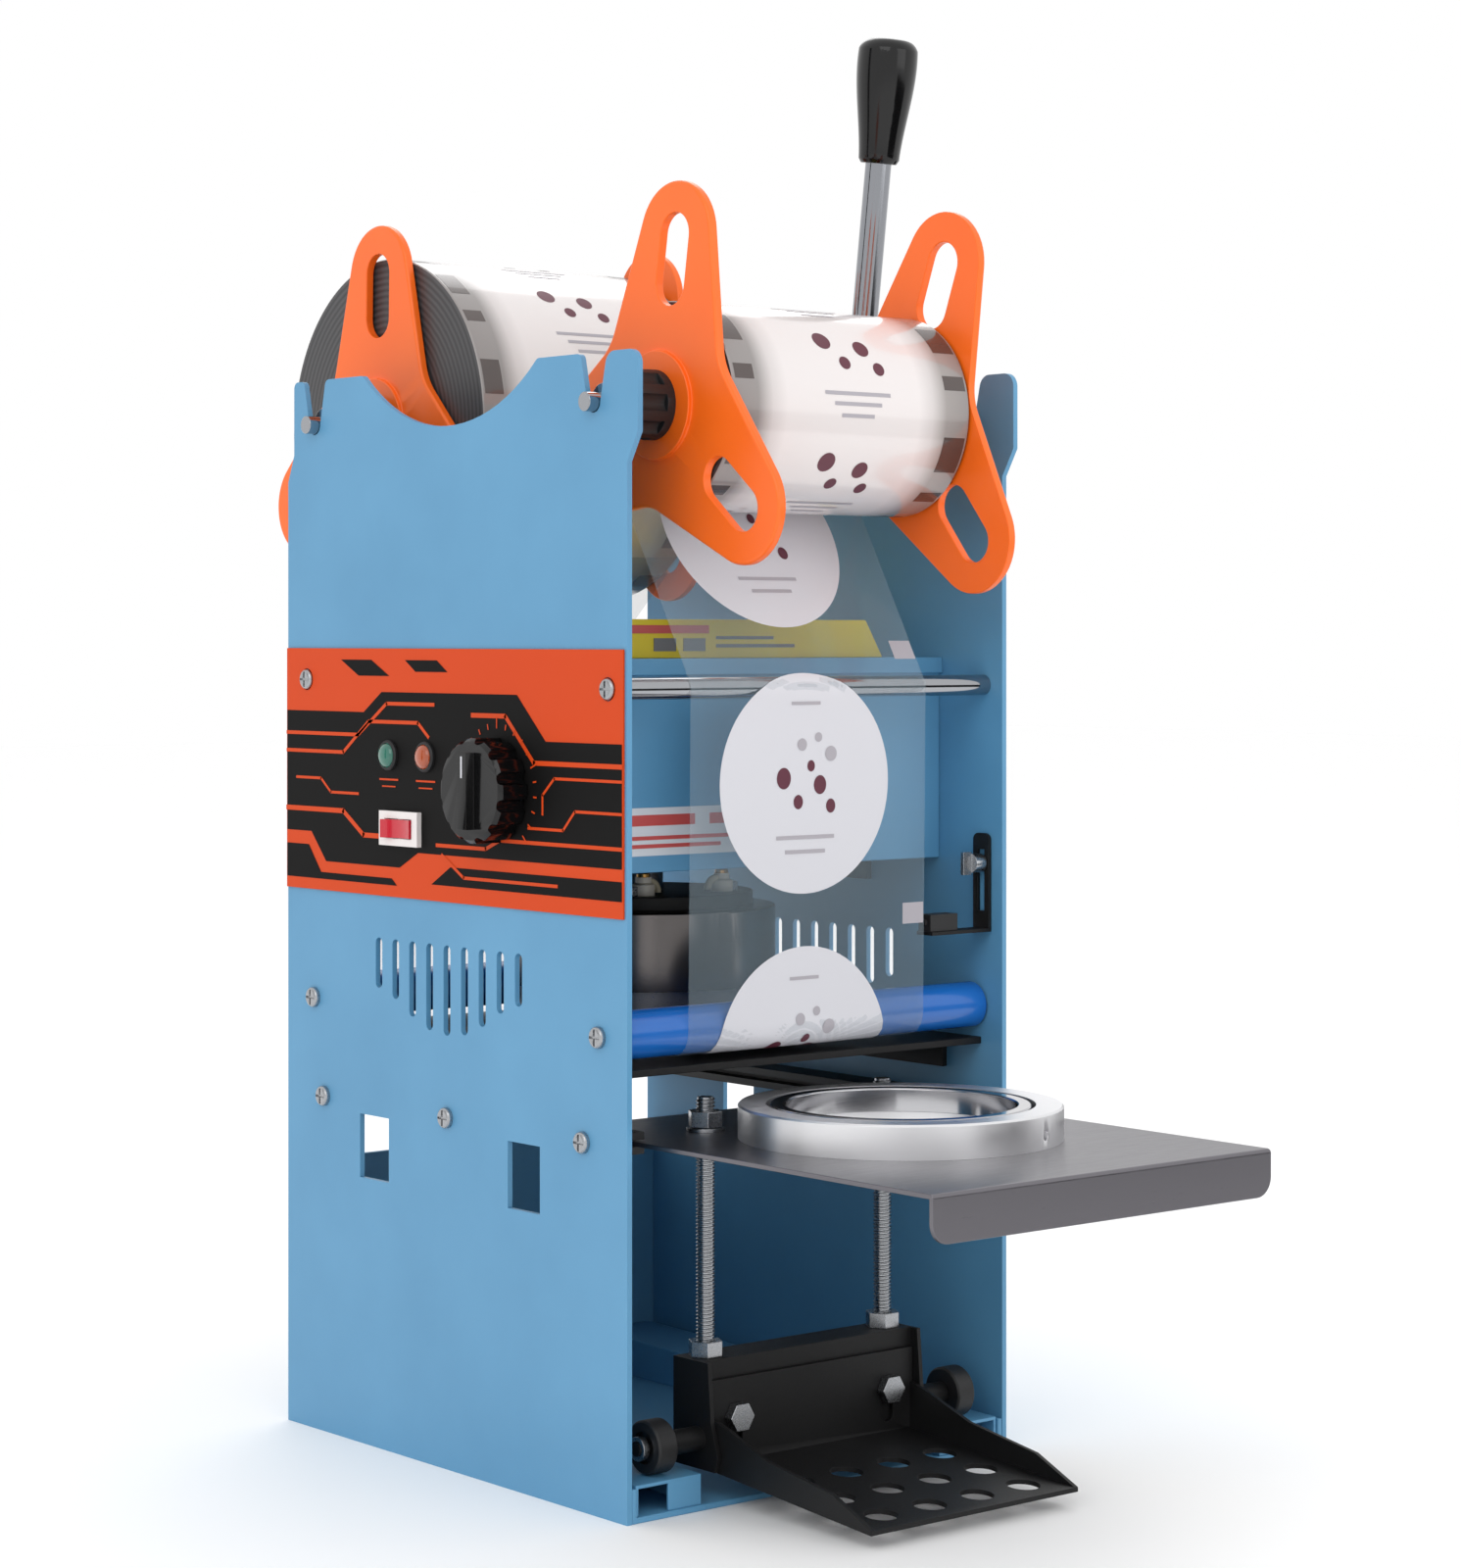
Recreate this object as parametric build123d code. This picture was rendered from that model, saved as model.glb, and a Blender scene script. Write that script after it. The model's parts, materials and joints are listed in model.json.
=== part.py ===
"""Hand-operated cup sealing machine.

Two painted side plates carry everything. A lever on the right turns a cross
shaft, whose crank pins push the heating head down on guide posts. The cup sits
in a ring on a sliding tray. A cup lift hangs from the tray on two threaded
rods; its wheels roll on sloping rails, so the lift rises as the tray goes in.
Clear film runs from the rear roll under the head to the front roll.

Millimetres. X runs from the left plate to the right plate, Y from the front
to the back, Z up. The origin is the middle of the base's underside.
"""
from build123d import *
import math
import os

# ---- overall sizes ---------------------------------------------------------
MACHINE_WIDTH = 210.0      # over the two side plates
PLATE_DEPTH = 250.0        # front edge to rear edge of a side plate
PLATE_HEIGHT = 470.0       # floor to the tips of the horns
PLATE_T = 2.5              # side plate sheet
SHEET_T = 1.5              # inner panels
GAP = 0.3                  # room between parts that move past each other
RUNNING = 0.05             # radial clearance of a shaft in its bush
FIT = 0.02                 # radial clearance of parts that are fixed together

# ---- base and tray ---------------------------------------------------------
BASE_T = 2.5
APRON_TOP = 118.0          # rear edge of the base, folded up
TRAY_TOP = 151.0
TRAY_T = 2.0
TRAY_WIDTH = MACHINE_WIDTH - 26.0    # 13 clear of each plate's outer face
TRAY_FRONT = -290.0        # front edge when the tray is pulled out
TRAY_LENGTH = 230.0
TRAY_LIP = 19.0
RAIL_HEIGHT = 9.0
RAIL_FRONT = -112.0        # behind the pushed-in tray's lip
RING_Y = -171.7            # cup ring centre when the tray is pulled out
TRAY_TRAVEL = -RING_Y      # pushed in, the ring is under the head
RING_HEIGHT = 14.0
CUP_R = 47.5               # bore that a 95 mm cup hangs in
INNER_RING_R = CUP_R + 6.0      # inner ring's wall
RING_R = INNER_RING_R + 13.0    # cup ring's wall
CUTTER_GROOVE = 1.6
RING_FLOOR = 4.0

# ---- cup lift --------------------------------------------------------------
LIFT_RISE = 4.0            # how far the lift rises as the tray goes in
LIFT_ROD_X = 49.2
LIFT_ROD_Y = -106.0
LIFT_ROD_R = 4.0
LIFT_ROD_TOP = TRAY_TOP + 14.0
LIFT_ROD_BOTTOM = 45.0
RAMP_FRONT_Z = 15.0
CHEEK_X = 59.0             # outer face of the lift's ears
RAMP_X0 = CHEEK_X + 7.0
WHEEL_R = 11.0
WHEEL_X0 = CHEEK_X + 18.5
WHEEL_WIDTH = 10.0
WHEEL_Y = -113.0
BRACKET_TOP = 58.0
BRACKET_Y = -115.0
PLATFORM_FRONT = -217.0
PLATFORM_FRONT_Z = 6.0
PLATFORM_REAR_Z = PLATFORM_FRONT_Z + 8.0
PLATFORM_TRAVEL = 11.0
BLACK_T = 2.0

# ---- film path -------------------------------------------------------------
AXLE_Y = 103.0             # roll spindles, front and rear
AXLE_Z = PLATE_HEIGHT - 20.0    # saddles hold the spindles 20 under the horn tips
SPINDLE_R = 8.0
JOURNAL_R = 4.0
FILM_WIDTH = 130.0
FILM_MID_X = -2.0
FILM_T = 0.2
CORE_R = 28.0              # bore of a film roll
FRONT_ROLL_R = 43.0
REAR_ROLL_R = 77.0
FLANGE_REACH = 92.0
FLANGE_T = 4.0
LOBE_R = 23.0
FLANGE_BODY_R = 40.0
GRIP_SLOT = (38.0, 18.0)   # length and width of the slot in each lobe
FRONT_ROD = (-113.5, 334.0)
REAR_ROD = (108.0, 336.0)
ROD_R = 4.5
FRONT_ROLLER = (-106.5, 193.5)
REAR_ROLLER = (103.0, 193.5)
ROLLER_R = 10.0
TABLE_T = 3.0
TABLE_TOP = 179.5

# ---- heating head and drive ------------------------------------------------
SHAFT_Y, SHAFT_Z, SHAFT_R = 4.0, 340.0, 8.0
LEVER_X = MACHINE_WIDTH / 2 + 13.0    # lever swings 13 outside the right plate
LEVER_LEAN = 7.6           # degrees forward of upright at rest
LEVER_SWING = 73.0
LEVER_LENGTH = 292.0
LEVER_ROD_R = 6.0
GRIP_LENGTH = 57.0
HEAD_TRAVEL = 22.0
HEAD_R = INNER_RING_R + 6.5
TABLE_HOLE_R = HEAD_R + 2.0
SPAN_HALF = TABLE_HOLE_R + 2.0    # flat film under the head, each way
HEATER_BOTTOM = 188.0
HOUSING_BOTTOM, HEAD_TOP = 202.6, 236.6
STEM_R = 10.0
CROSSHEAD_Z, CROSSHEAD_T = SHAFT_Z - 34.0, 8.0
POST_X, POST_R = 62.0, 5.0
POST_TOP = SHAFT_Z - SHAFT_R - 4.0    # posts stop 4 under the shaft
CRANK_R = HEAD_TRAVEL / (2 * math.sin(math.radians(LEVER_SWING / 2)))
CRANK_PIN_R = 4.0
YOKE_X0 = 28.0
YOKE_X1 = YOKE_X0 + 6.0
DECK_Z, DECK_T = 257.0, 3.0
PANEL_Y = 85.0
SHELF_Z, SHELF_T = 344.0, 2.0
COVER_TOP = 362.5

# ---- control panel on the left plate --------------------------------------
PANEL_Z0, PANEL_Z1 = 242.0, 350.0
FACIA_T = 1.0
KNOB_Y, KNOB_Z, KNOB_R = -38.0, 291.0, 22.0
SWITCH_Y, SWITCH_Z = 32.0, 272.0
SWITCH_SIZE = (29.0, 15.0)
LAMPS_Y, LAMP_Z, LAMP_R = (42.0, 14.0), 303.5, 5.0

OUT_X = MACHINE_WIDTH / 2
IN_X = OUT_X - PLATE_T
HALF_DEPTH = PLATE_DEPTH / 2
SCREW_R, SCREW_HEAD_R, SCREW_HEAD = 2.5, 4.5, 2.6
SCREW_DEPTH = 8.0
SIDE_SCREWS = [FRONT_ROD, REAR_ROD, FRONT_ROLLER, REAR_ROLLER]
RAIL_SCREWS = [(y, TRAY_TOP - TRAY_T / 2) for y in (-96.0, 0.0, 95.0)]
RIGHT, LEFT = 1, -1


# ---- shape helpers ---------------------------------------------------------
def block(x0, x1, y0, y1, z0, z1):
    """A box between two corners."""
    middle = Pos((x0 + x1) / 2, (y0 + y1) / 2, (z0 + z1) / 2)
    return middle * Box(abs(x1 - x0), abs(y1 - y0), abs(z1 - z0))


def rod_x(x0, x1, y, z, r):
    """A round bar along X."""
    return Pos((x0 + x1) / 2, y, z) * Rot(0, 90, 0) * Cylinder(r, abs(x1 - x0))


def rod_z(x, y, z0, z1, r):
    """A round bar along Z."""
    return Pos(x, y, (z0 + z1) / 2) * Cylinder(r, abs(z1 - z0))


def side_profile(face, x0, x1):
    """A flat YZ face, drawn as (y, z), made into sheet from x0 to x1."""
    return extrude(Plane.YZ.offset(min(x0, x1)) * face, abs(x1 - x0))


def hexagon(x, y, z0, z1, across_flats):
    """A hexagonal prism along Z."""
    flat = RegularPolygon(across_flats / 2, 6, major_radius=False)
    return extrude(Pos(x, y, min(z0, z1)) * flat, abs(z1 - z0))


def group(*shapes):
    """Separate solids that are one node."""
    solids = []
    for shape in shapes:
        solids += list(shape.solids())
    return Compound(children=solids)


def both_sides(make):
    """The same piece on the left and on the right."""
    return group(make(LEFT), make(RIGHT))


# ---- side plates -----------------------------------------------------------
VENT_PITCH, VENT_WIDTH, VENT_TOP = 12.9, 5.0, 223.5
VENT_BOTTOMS = (185.0, 186.3, 191.0, 197.6, 201.5)   # middle slot outwards
WINDOW_Y0, WINDOW_Y1, WINDOW_Z0, WINDOW_Z1 = 44.0, 66.5, 117.0, 145.0
SADDLE_R, SADDLE_BOTTOM = 96.0, PLATE_HEIGHT - 25.0
NOTCH_R = JOURNAL_R + GAP
NOTCH_MOUTH = 9.0
HORN_STEP_Z = PLATE_HEIGHT - 45.0
FRONT_FLARE, REAR_INSET = 7.0, 5.0
TIP_ROUND, LAND_ROUND = 6.0, 3.0


def plate_outline():
    """Side plate, seen from the side, without its small holes."""
    front, rear, top = -HALF_DEPTH, HALF_DEPTH, PLATE_HEIGHT
    points = [
        (front, 0), (rear, 0), (rear, HORN_STEP_Z),
        (rear - REAR_INSET, HORN_STEP_Z + 12), (rear - REAR_INSET, top),
        (front - FRONT_FLARE, top), (front - FRONT_FLARE, HORN_STEP_Z + 12),
        (front, HORN_STEP_Z),
    ]
    face = make_face(Polyline(*points, close=True))
    face -= Pos(0, SADDLE_BOTTOM + SADDLE_R) * Circle(SADDLE_R)
    for side in (-1, 1):
        y = side * AXLE_Y
        mouth = Polyline(
            (y - NOTCH_R, AXLE_Z), (y + NOTCH_R, AXLE_Z),
            (y + NOTCH_MOUTH, top + 1), (y - NOTCH_MOUTH, top + 1), close=True)
        face -= make_face(mouth)
        face -= Pos(y, AXLE_Z) * Circle(NOTCH_R)
    tips = [v for v in face.vertices() if v.Y > top - 1]
    front_tip = [v for v in tips if v.X < -AXLE_Y]
    face = fillet(front_tip, TIP_ROUND)
    others = [v for v in face.vertices() if v.Y > top - 1 and v.X > -AXLE_Y]
    return fillet(others, LAND_ROUND)


def vent_slots():
    """Cooling slots whose lower ends make a shield shape."""
    slots = Sketch()
    for i in range(-4, 5):
        bottom = VENT_BOTTOMS[abs(i)]
        slot = SlotOverall(VENT_TOP - bottom, VENT_WIDTH, rotation=90)
        slots += Pos(i * VENT_PITCH, (VENT_TOP + bottom) / 2) * slot
    return slots


def windows():
    """Two openings below the tray rail."""
    height = WINDOW_Z1 - WINDOW_Z0
    pair = Sketch()
    for side in (-1, 1):
        middle = Pos(side * (WINDOW_Y0 + WINDOW_Y1) / 2, WINDOW_Z0 + height / 2)
        pair += middle * Rectangle(WINDOW_Y1 - WINDOW_Y0, height)
    return pair


def side_plate(side):
    face = plate_outline() - vent_slots() - windows()
    for y, z in SIDE_SCREWS + RAIL_SCREWS:
        face -= Pos(y, z) * Circle(SCREW_R + 0.1)
    return side_profile(face, side * IN_X, side * OUT_X)


SENSOR_Y, SENSOR_TOP, SENSOR_ELBOW = -113.5, 269.0, 226.0
SENSOR_SCREW_Z = 256.0


def left_side_plate():
    plate = side_plate(LEFT)
    plate -= rod_x(-OUT_X - 1, -IN_X + 1, KNOB_Y, KNOB_Z, 6.0)
    for y in LAMPS_Y:
        plate -= rod_x(-OUT_X - 1, -IN_X + 1, y, LAMP_Z, LAMP_R)
    length, height = SWITCH_SIZE
    plate -= block(-OUT_X - 1, -IN_X + 1, SWITCH_Y - length / 2 + 2,
                   SWITCH_Y + length / 2 - 2, SWITCH_Z - height / 2 + 2,
                   SWITCH_Z + height / 2 - 2)
    return plate


def right_side_plate():
    plate = side_plate(RIGHT)
    plate -= rod_x(IN_X - 1, OUT_X + 1, SHAFT_Y, SHAFT_Z, BUSH_R)
    plate -= rod_x(IN_X - 1, OUT_X + 1, SENSOR_Y, SENSOR_SCREW_Z, 2.1)
    return plate


def side_screws():
    """Pan-head screws through the plates into rods, axles and rails."""
    def one_side(side):
        screws = []
        for y, z in SIDE_SCREWS + RAIL_SCREWS:
            head = rod_x(side * OUT_X, side * (OUT_X + SCREW_HEAD), y, z, SCREW_HEAD_R)
            rim = head.edges().group_by(Axis.X)[0 if side < 0 else -1]
            head = fillet(rim, SCREW_HEAD * 0.6)
            shank_end = IN_X - SCREW_DEPTH
            slot = block(side * (OUT_X + 1.6), side * (OUT_X + 3), y - 3.4, y + 3.4,
                         z - 0.5, z + 0.5)
            cross = block(side * (OUT_X + 1.6), side * (OUT_X + 3), y - 0.5, y + 0.5,
                          z - 3.4, z + 3.4)
            screws.append(head - slot - cross
                          + rod_x(side * OUT_X, side * shank_end, y, z, SCREW_R))
        return group(*screws)
    return both_sides(one_side)


def screw_holes(part, places, side):
    """Cuts the holes that the side screws run into."""
    for y, z in places:
        part -= rod_x(side * (IN_X + 1), side * (IN_X - SCREW_DEPTH - 1), y, z,
                      SCREW_R + FIT)
    return part


# ---- base, rails and inner sheet metal ------------------------------------
APRON_Y = 120.0


def base_plate():
    """Floor pan with low side flanges and a tall rear apron."""
    x = IN_X - 0.1
    pan = block(-x, x, -HALF_DEPTH, HALF_DEPTH, 0, BASE_T)
    for side in (LEFT, RIGHT):
        pan += block(side * x, side * (x - BASE_T), -HALF_DEPTH, HALF_DEPTH, 0, 14)
    return pan + block(-x, x, APRON_Y, APRON_Y + BASE_T, 0, APRON_TOP)


RAMP_SLOPE = LIFT_RISE / TRAY_TRAVEL
RAMP_FRONT_Y, RAMP_REAR_Y = -124.0, APRON_Y - 0.2
RAMP_X1 = IN_X - 0.2 - BASE_T
RAMP_TAB_X = 83.0


def ramp_z(y):
    """Height of the sloping rail's top at y."""
    return RAMP_FRONT_Z + RAMP_SLOPE * (y - RAMP_FRONT_Y)


def ramp_rails():
    """Two folded channels on the base; their tops slope up to the back."""
    front, rear, t = RAMP_FRONT_Y, RAMP_REAR_Y, SHEET_T

    def one(side):
        outside = make_face(Polyline((front, BASE_T), (rear, BASE_T), (rear, ramp_z(rear)),
                                     (front, RAMP_FRONT_Z), close=True))
        inside = make_face(Polyline((front + t, BASE_T), (rear, BASE_T),
                                    (rear, ramp_z(rear) - t),
                                    (front + t, RAMP_FRONT_Z - t), close=True))
        rail = side_profile(outside, side * RAMP_X0, side * RAMP_X1)
        rail -= side_profile(inside, side * (RAMP_X0 + t), side * (RAMP_X1 - t))
        return rail - block(side * RAMP_TAB_X, side * (RAMP_X1 - t), front - 1,
                            front + t + 1, BASE_T, RAMP_FRONT_Z - t)
    return both_sides(one)


def tray_rails():
    """Grooved strips that the tray's edges slide in."""
    def one(side):
        z_mid = TRAY_TOP - TRAY_T / 2
        rail = block(side * IN_X, side * (TRAY_WIDTH / 2 - 6), RAIL_FRONT,
                     HALF_DEPTH - 1, z_mid - RAIL_HEIGHT / 2, z_mid + RAIL_HEIGHT / 2)
        rail -= block(side * (TRAY_WIDTH / 2 + 0.5), 0, -HALF_DEPTH, HALF_DEPTH,
                      TRAY_TOP - TRAY_T - GAP, TRAY_TOP + GAP)
        for y, z in RAIL_SCREWS:
            rail -= rod_x(side * (IN_X + 1), side * (IN_X - SCREW_DEPTH), y, z,
                          SCREW_R + FIT)
        return rail
    return both_sides(one)


BUSH_R = SHAFT_R + 3.0    # bush wall 3


def bushes():
    """Bushes of the cross shaft, through the right plate and blind on the left,
    and the bush in the deck that the head's stem slides in."""
    right = rod_x(IN_X - 8, OUT_X + 1.5, SHAFT_Y, SHAFT_Z, BUSH_R - FIT)
    right += rod_x(IN_X - 8, IN_X, SHAFT_Y, SHAFT_Z, BUSH_R + 4)
    right -= rod_x(IN_X - 9, OUT_X + 3, SHAFT_Y, SHAFT_Z, SHAFT_R + RUNNING)
    left = rod_x(-IN_X, -IN_X + 11, SHAFT_Y, SHAFT_Z, BUSH_R + 4)
    left -= rod_x(-IN_X + 1, -IN_X + 12, SHAFT_Y, SHAFT_Z, SHAFT_R + RUNNING)
    return group(left, right, stem_bush())


def guide_deck():
    """Cross plate that carries the head's guide bush and posts."""
    x = IN_X - 0.1
    deck = block(-x, x, -PANEL_Y + SHEET_T + 0.1, PANEL_Y - SHEET_T - 0.1,
                 DECK_Z, DECK_Z + DECK_T)
    for side in (LEFT, RIGHT):
        deck += block(side * x, side * (x - DECK_T), -40, 40, DECK_Z, DECK_Z - 12)
        deck -= rod_z(side * POST_X, 0, DECK_Z - 1, DECK_Z + DECK_T + 1, POST_R + FIT)
    deck -= rod_z(0, 0, DECK_Z - 1, DECK_Z + DECK_T + 1, STEM_R + 4 + FIT)
    return deck


def stem_bush():
    """Bush in the deck that the head's stem slides in."""
    bush = rod_z(0, 0, DECK_Z - 2, DECK_Z + DECK_T + 10, STEM_R + 4)
    bush += rod_z(0, 0, DECK_Z + DECK_T, DECK_Z + DECK_T + 3, STEM_R + 9)
    return bush - rod_z(0, 0, DECK_Z - 3, DECK_Z + DECK_T + 11, STEM_R + RUNNING)


def guide_posts():
    def one(side):
        post = rod_z(side * POST_X, 0, DECK_Z - 2, POST_TOP, POST_R)
        return post + rod_z(side * POST_X, 0, DECK_Z - 6, DECK_Z, POST_R + 4)
    return both_sides(one)


SPRING_WIRE, SPRING_TURNS = 0.9, 6


def return_springs():
    """Compression springs that lift the head."""
    low = DECK_Z + DECK_T + SPRING_WIRE + 0.1
    high = CROSSHEAD_Z - SPRING_WIRE - 0.1
    radius = POST_R + 2.2

    def one(side):
        path = Helix((high - low) / SPRING_TURNS, high - low, radius)
        section = Plane(origin=path @ 0, z_dir=path % 0) * Circle(SPRING_WIRE)
        return Pos(side * POST_X, 0, low) * sweep(section, path, is_frenet=True)
    return both_sides(one)


def cross_panel(side_y):
    """Upright blue panel between the plates, with flanges folded inwards."""
    x = IN_X - 0.1
    face_y = side_y * PANEL_Y
    back_y = side_y * (PANEL_Y - SHEET_T)
    top = SHELF_Z - 0.1
    panel = block(-x, x, face_y, back_y, DECK_Z, top)
    for side in (LEFT, RIGHT):
        panel += block(side * x, side * (x - SHEET_T), face_y, side_y * (PANEL_Y - 16),
                       DECK_Z + DECK_T + 23, top)
    return panel


INLET_X, INLET_Z, INLET_W, INLET_H = 50.0, 300.0, 27.0, 19.5


def cross_panels():
    """Front and rear panels; the rear one has the inlet's opening."""
    panel = cross_panel(1)
    panel -= block(INLET_X - INLET_W / 2 - FIT, INLET_X + INLET_W / 2 + FIT,
                         PANEL_Y - 20, PANEL_Y + 5, INLET_Z - INLET_H / 2 - FIT,
                         INLET_Z + INLET_H / 2 + FIT)
    return group(cross_panel(-1), panel)


def power_inlet():
    """Three-pin mains inlet in the rear panel."""
    body = block(INLET_X - INLET_W / 2, INLET_X + INLET_W / 2, PANEL_Y - 19,
                 PANEL_Y + 1, INLET_Z - INLET_H / 2, INLET_Z + INLET_H / 2)
    body += block(INLET_X - 20, INLET_X + 20, PANEL_Y, PANEL_Y + 3,
                  INLET_Z - 12.5, INLET_Z + 12.5)
    socket = block(INLET_X - 11.8, INLET_X + 11.8, PANEL_Y - 14, PANEL_Y + 4,
                   INLET_Z - 7.8, INLET_Z + 7.8)
    body -= socket
    for x, z in ((-7, -1.5), (0, 2.5), (7, -1.5)):
        body += block(INLET_X + x - 1, INLET_X + x + 1, PANEL_Y - 15, PANEL_Y - 5,
                      INLET_Z + z - 2, INLET_Z + z + 2)
    return body


SHELF_HOLE_X, SHELF_HOLE_Y0, SHELF_HOLE_Y1 = 52.0, -42.0, 30.0
COVER_Y0, COVER_Y1, COVER_X, COVER_SLOPE = -70.0, 40.0, 82.0, 10.0


def top_shelf():
    """Front and rear shelves under the drive cover, with lips turned down."""
    x = IN_X - 0.1
    y = PANEL_Y + SHELF_T + 0.1
    shelf = block(-x, x, -y, y, SHELF_Z, SHELF_Z + SHELF_T)
    for side in (-1, 1):
        shelf += block(-x, x, side * y, side * (y - SHELF_T), SHELF_Z - 5, SHELF_Z)
    shelf -= block(-SHELF_HOLE_X, SHELF_HOLE_X, SHELF_HOLE_Y0, SHELF_HOLE_Y1,
                   SHELF_Z - 1, SHELF_Z + SHELF_T + 1)
    room = BUSH_R + 4.5
    return shelf - block(-x - 1, x + 1, SHAFT_Y - room, SHAFT_Y + room, SHELF_Z - 1,
                         SHELF_Z + SHELF_T + 1)


def drive_cover():
    """Low yellow cover over the cranks, with sloping ends."""
    def wedge(x, y0, y1, z0, z1):
        face = Plane.XZ.offset(-y1) * make_face(Polyline(
            (-x, z0), (x, z0), (x - COVER_SLOPE, z1), (-x + COVER_SLOPE, z1),
            close=True))
        return extrude(face, y1 - y0)
    bottom = SHELF_Z + SHELF_T
    outer = wedge(COVER_X, COVER_Y0, COVER_Y1, bottom, COVER_TOP)
    hollow = wedge(COVER_X - 2, COVER_Y0 + 1.5, COVER_Y1 - 1.5, bottom, COVER_TOP - 1.5)
    cover = outer - hollow
    return cover - rod_x(-IN_X, IN_X, SHAFT_Y, SHAFT_Z, SHAFT_R + 1.5)


# ---- film path -------------------------------------------------------------
ROLLER_AXLE_R = 5.0


def cross_rods():
    """Bars fixed between the plates: two chromed rods that the film slides
    over, and the axles of the two rollers."""
    bars = []
    for (y, z), r in ((FRONT_ROD, ROD_R), (REAR_ROD, ROD_R),
                      (FRONT_ROLLER, ROLLER_AXLE_R), (REAR_ROLLER, ROLLER_AXLE_R)):
        bar = rod_x(-IN_X, IN_X, y, z, r)
        for side in (LEFT, RIGHT):
            bar = screw_holes(bar, [(y, z)], side)
        bars.append(bar)
    return group(*bars)


def film_roller(at):
    """Blue tube that turns on its axle as the film passes."""
    y, z = at
    tube = rod_x(-IN_X + 1, IN_X - 1, y, z, ROLLER_R)
    return tube - rod_x(-IN_X, IN_X, y, z, ROLLER_AXLE_R + RUNNING)


def inner_tangent(c0, r0, c1, r1, turn):
    """Ends of the line that crosses between two circles."""
    dy, dz = c1[0] - c0[0], c1[1] - c0[1]
    length = math.hypot(dy, dz)
    base = math.atan2(dz, dy)
    swing = turn * math.acos((r0 + r1) / length)
    u = (math.cos(base + swing), math.sin(base + swing))
    return ((c0[0] + r0 * u[0], c0[1] + r0 * u[1]),
            (c1[0] - r1 * u[0], c1[1] - r1 * u[1]), math.degrees(base + swing))


def outer_tangent(c0, r0, c1, r1, turn):
    """Ends of the line along one side of two circles."""
    dy, dz = c1[0] - c0[0], c1[1] - c0[1]
    base = math.atan2(dz, dy)
    swing = turn * math.acos((r0 - r1) / math.hypot(dy, dz))
    u = (math.cos(base + swing), math.sin(base + swing))
    return ((c0[0] + r0 * u[0], c0[1] + r0 * u[1]),
            (c1[0] + r1 * u[0], c1[1] + r1 * u[1]), math.degrees(base + swing))


def film_path(roll, roll_r, rod, roller):
    """Middle line of the film in front of the head, from roll to table."""
    half = GAP + FILM_T / 2
    a, b, cross = inner_tangent(roll, roll_r + half, rod, ROD_R + half, 1)
    c, d, along = outer_tangent(rod, ROD_R + half, roller, ROLLER_R + half, -1)
    leave = cross + 180.0
    bend = (along - leave + 180.0) % 360.0 - 180.0
    under = (270.0 - along + 180.0) % 360.0 - 180.0
    low = roller[1] - ROLLER_R - half
    return [
        Line(a, b),
        CenterArc(rod, ROD_R + half, leave, bend),
        Line(c, d),
        CenterArc(roller, ROLLER_R + half, along, under),
        Line((roller[0], low), (-SPAN_HALF - 0.2, low)),
    ]


def film_web():
    """Film in front of the head and behind it, from the rolls to the span."""
    front = film_path((-AXLE_Y, AXLE_Z), FRONT_ROLL_R, FRONT_ROD, FRONT_ROLLER)
    rear = film_path((-AXLE_Y, AXLE_Z), REAR_ROLL_R, (-REAR_ROD[0], REAR_ROD[1]),
                     (-REAR_ROLLER[0], REAR_ROLLER[1]))
    webs = []
    for route in (front, rear):
        plane = Plane.YZ.offset(FILM_MID_X - FILM_WIDTH / 2)
        webs.append(extrude(plane * trace(route, FILM_T), FILM_WIDTH))
    return group(webs[0], mirror(webs[1], Plane.XZ))


SPAN_Z = FRONT_ROLLER[1] - ROLLER_R - GAP - FILM_T / 2


def film_strip(y0, y1):
    x0 = FILM_MID_X - FILM_WIDTH / 2
    return block(x0, x0 + FILM_WIDTH, y0, y1, SPAN_Z - FILM_T / 2, SPAN_Z + FILM_T / 2)


def film_table():
    """Black sheet under the film, with a hole for the head."""
    x = IN_X - 0.1
    z0 = TABLE_TOP - TABLE_T
    sheet = block(-x, x, -112, 112, z0, TABLE_TOP)
    for side in (LEFT, RIGHT):
        sheet += block(side * x, side * (x - TABLE_T), -90, 90, z0, z0 - 12)
    return sheet - rod_z(0, 0, z0 - 1, TABLE_TOP + 1, TABLE_HOLE_R)


def film_span():
    """Film stretched flat under the head, which presses it down."""
    return film_strip(-SPAN_HALF, SPAN_HALF)


def film_roll(y, r):
    x0 = FILM_MID_X - FILM_WIDTH / 2
    roll = rod_x(x0, x0 + FILM_WIDTH, y, AXLE_Z, r)
    return roll - rod_x(x0 - 1, x0 + FILM_WIDTH + 1, y, AXLE_Z, CORE_R)


def trefoil():
    """Outline of a roll flange: three rounded lobes, each with a grip slot."""
    lobe_at = FLANGE_REACH - LOBE_R
    face = Sketch()
    for i in range(3):
        turn = Rot(0, 0, 120 * i)
        angle = math.acos((FLANGE_BODY_R - LOBE_R) / lobe_at)
        c, s = math.cos(angle), math.sin(angle)
        arm = make_face(Polyline(
            (0, 0), (FLANGE_BODY_R * s, FLANGE_BODY_R * c),
            (LOBE_R * s, lobe_at + LOBE_R * c), (-LOBE_R * s, lobe_at + LOBE_R * c),
            (-FLANGE_BODY_R * s, FLANGE_BODY_R * c), close=True))
        face += turn * (arm + Pos(0, lobe_at) * Circle(LOBE_R))
    waist = [v for v in face.vertices() if math.hypot(v.X, v.Y) < FLANGE_BODY_R + 6]
    face = fillet(waist, 24)
    for i in range(3):
        slot = SlotOverall(*GRIP_SLOT, rotation=90)
        slot_at = FLANGE_REACH - 13 - GRIP_SLOT[0] / 2
        face -= Rot(0, 0, 120 * i) * Pos(0, slot_at) * slot
    return face


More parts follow.
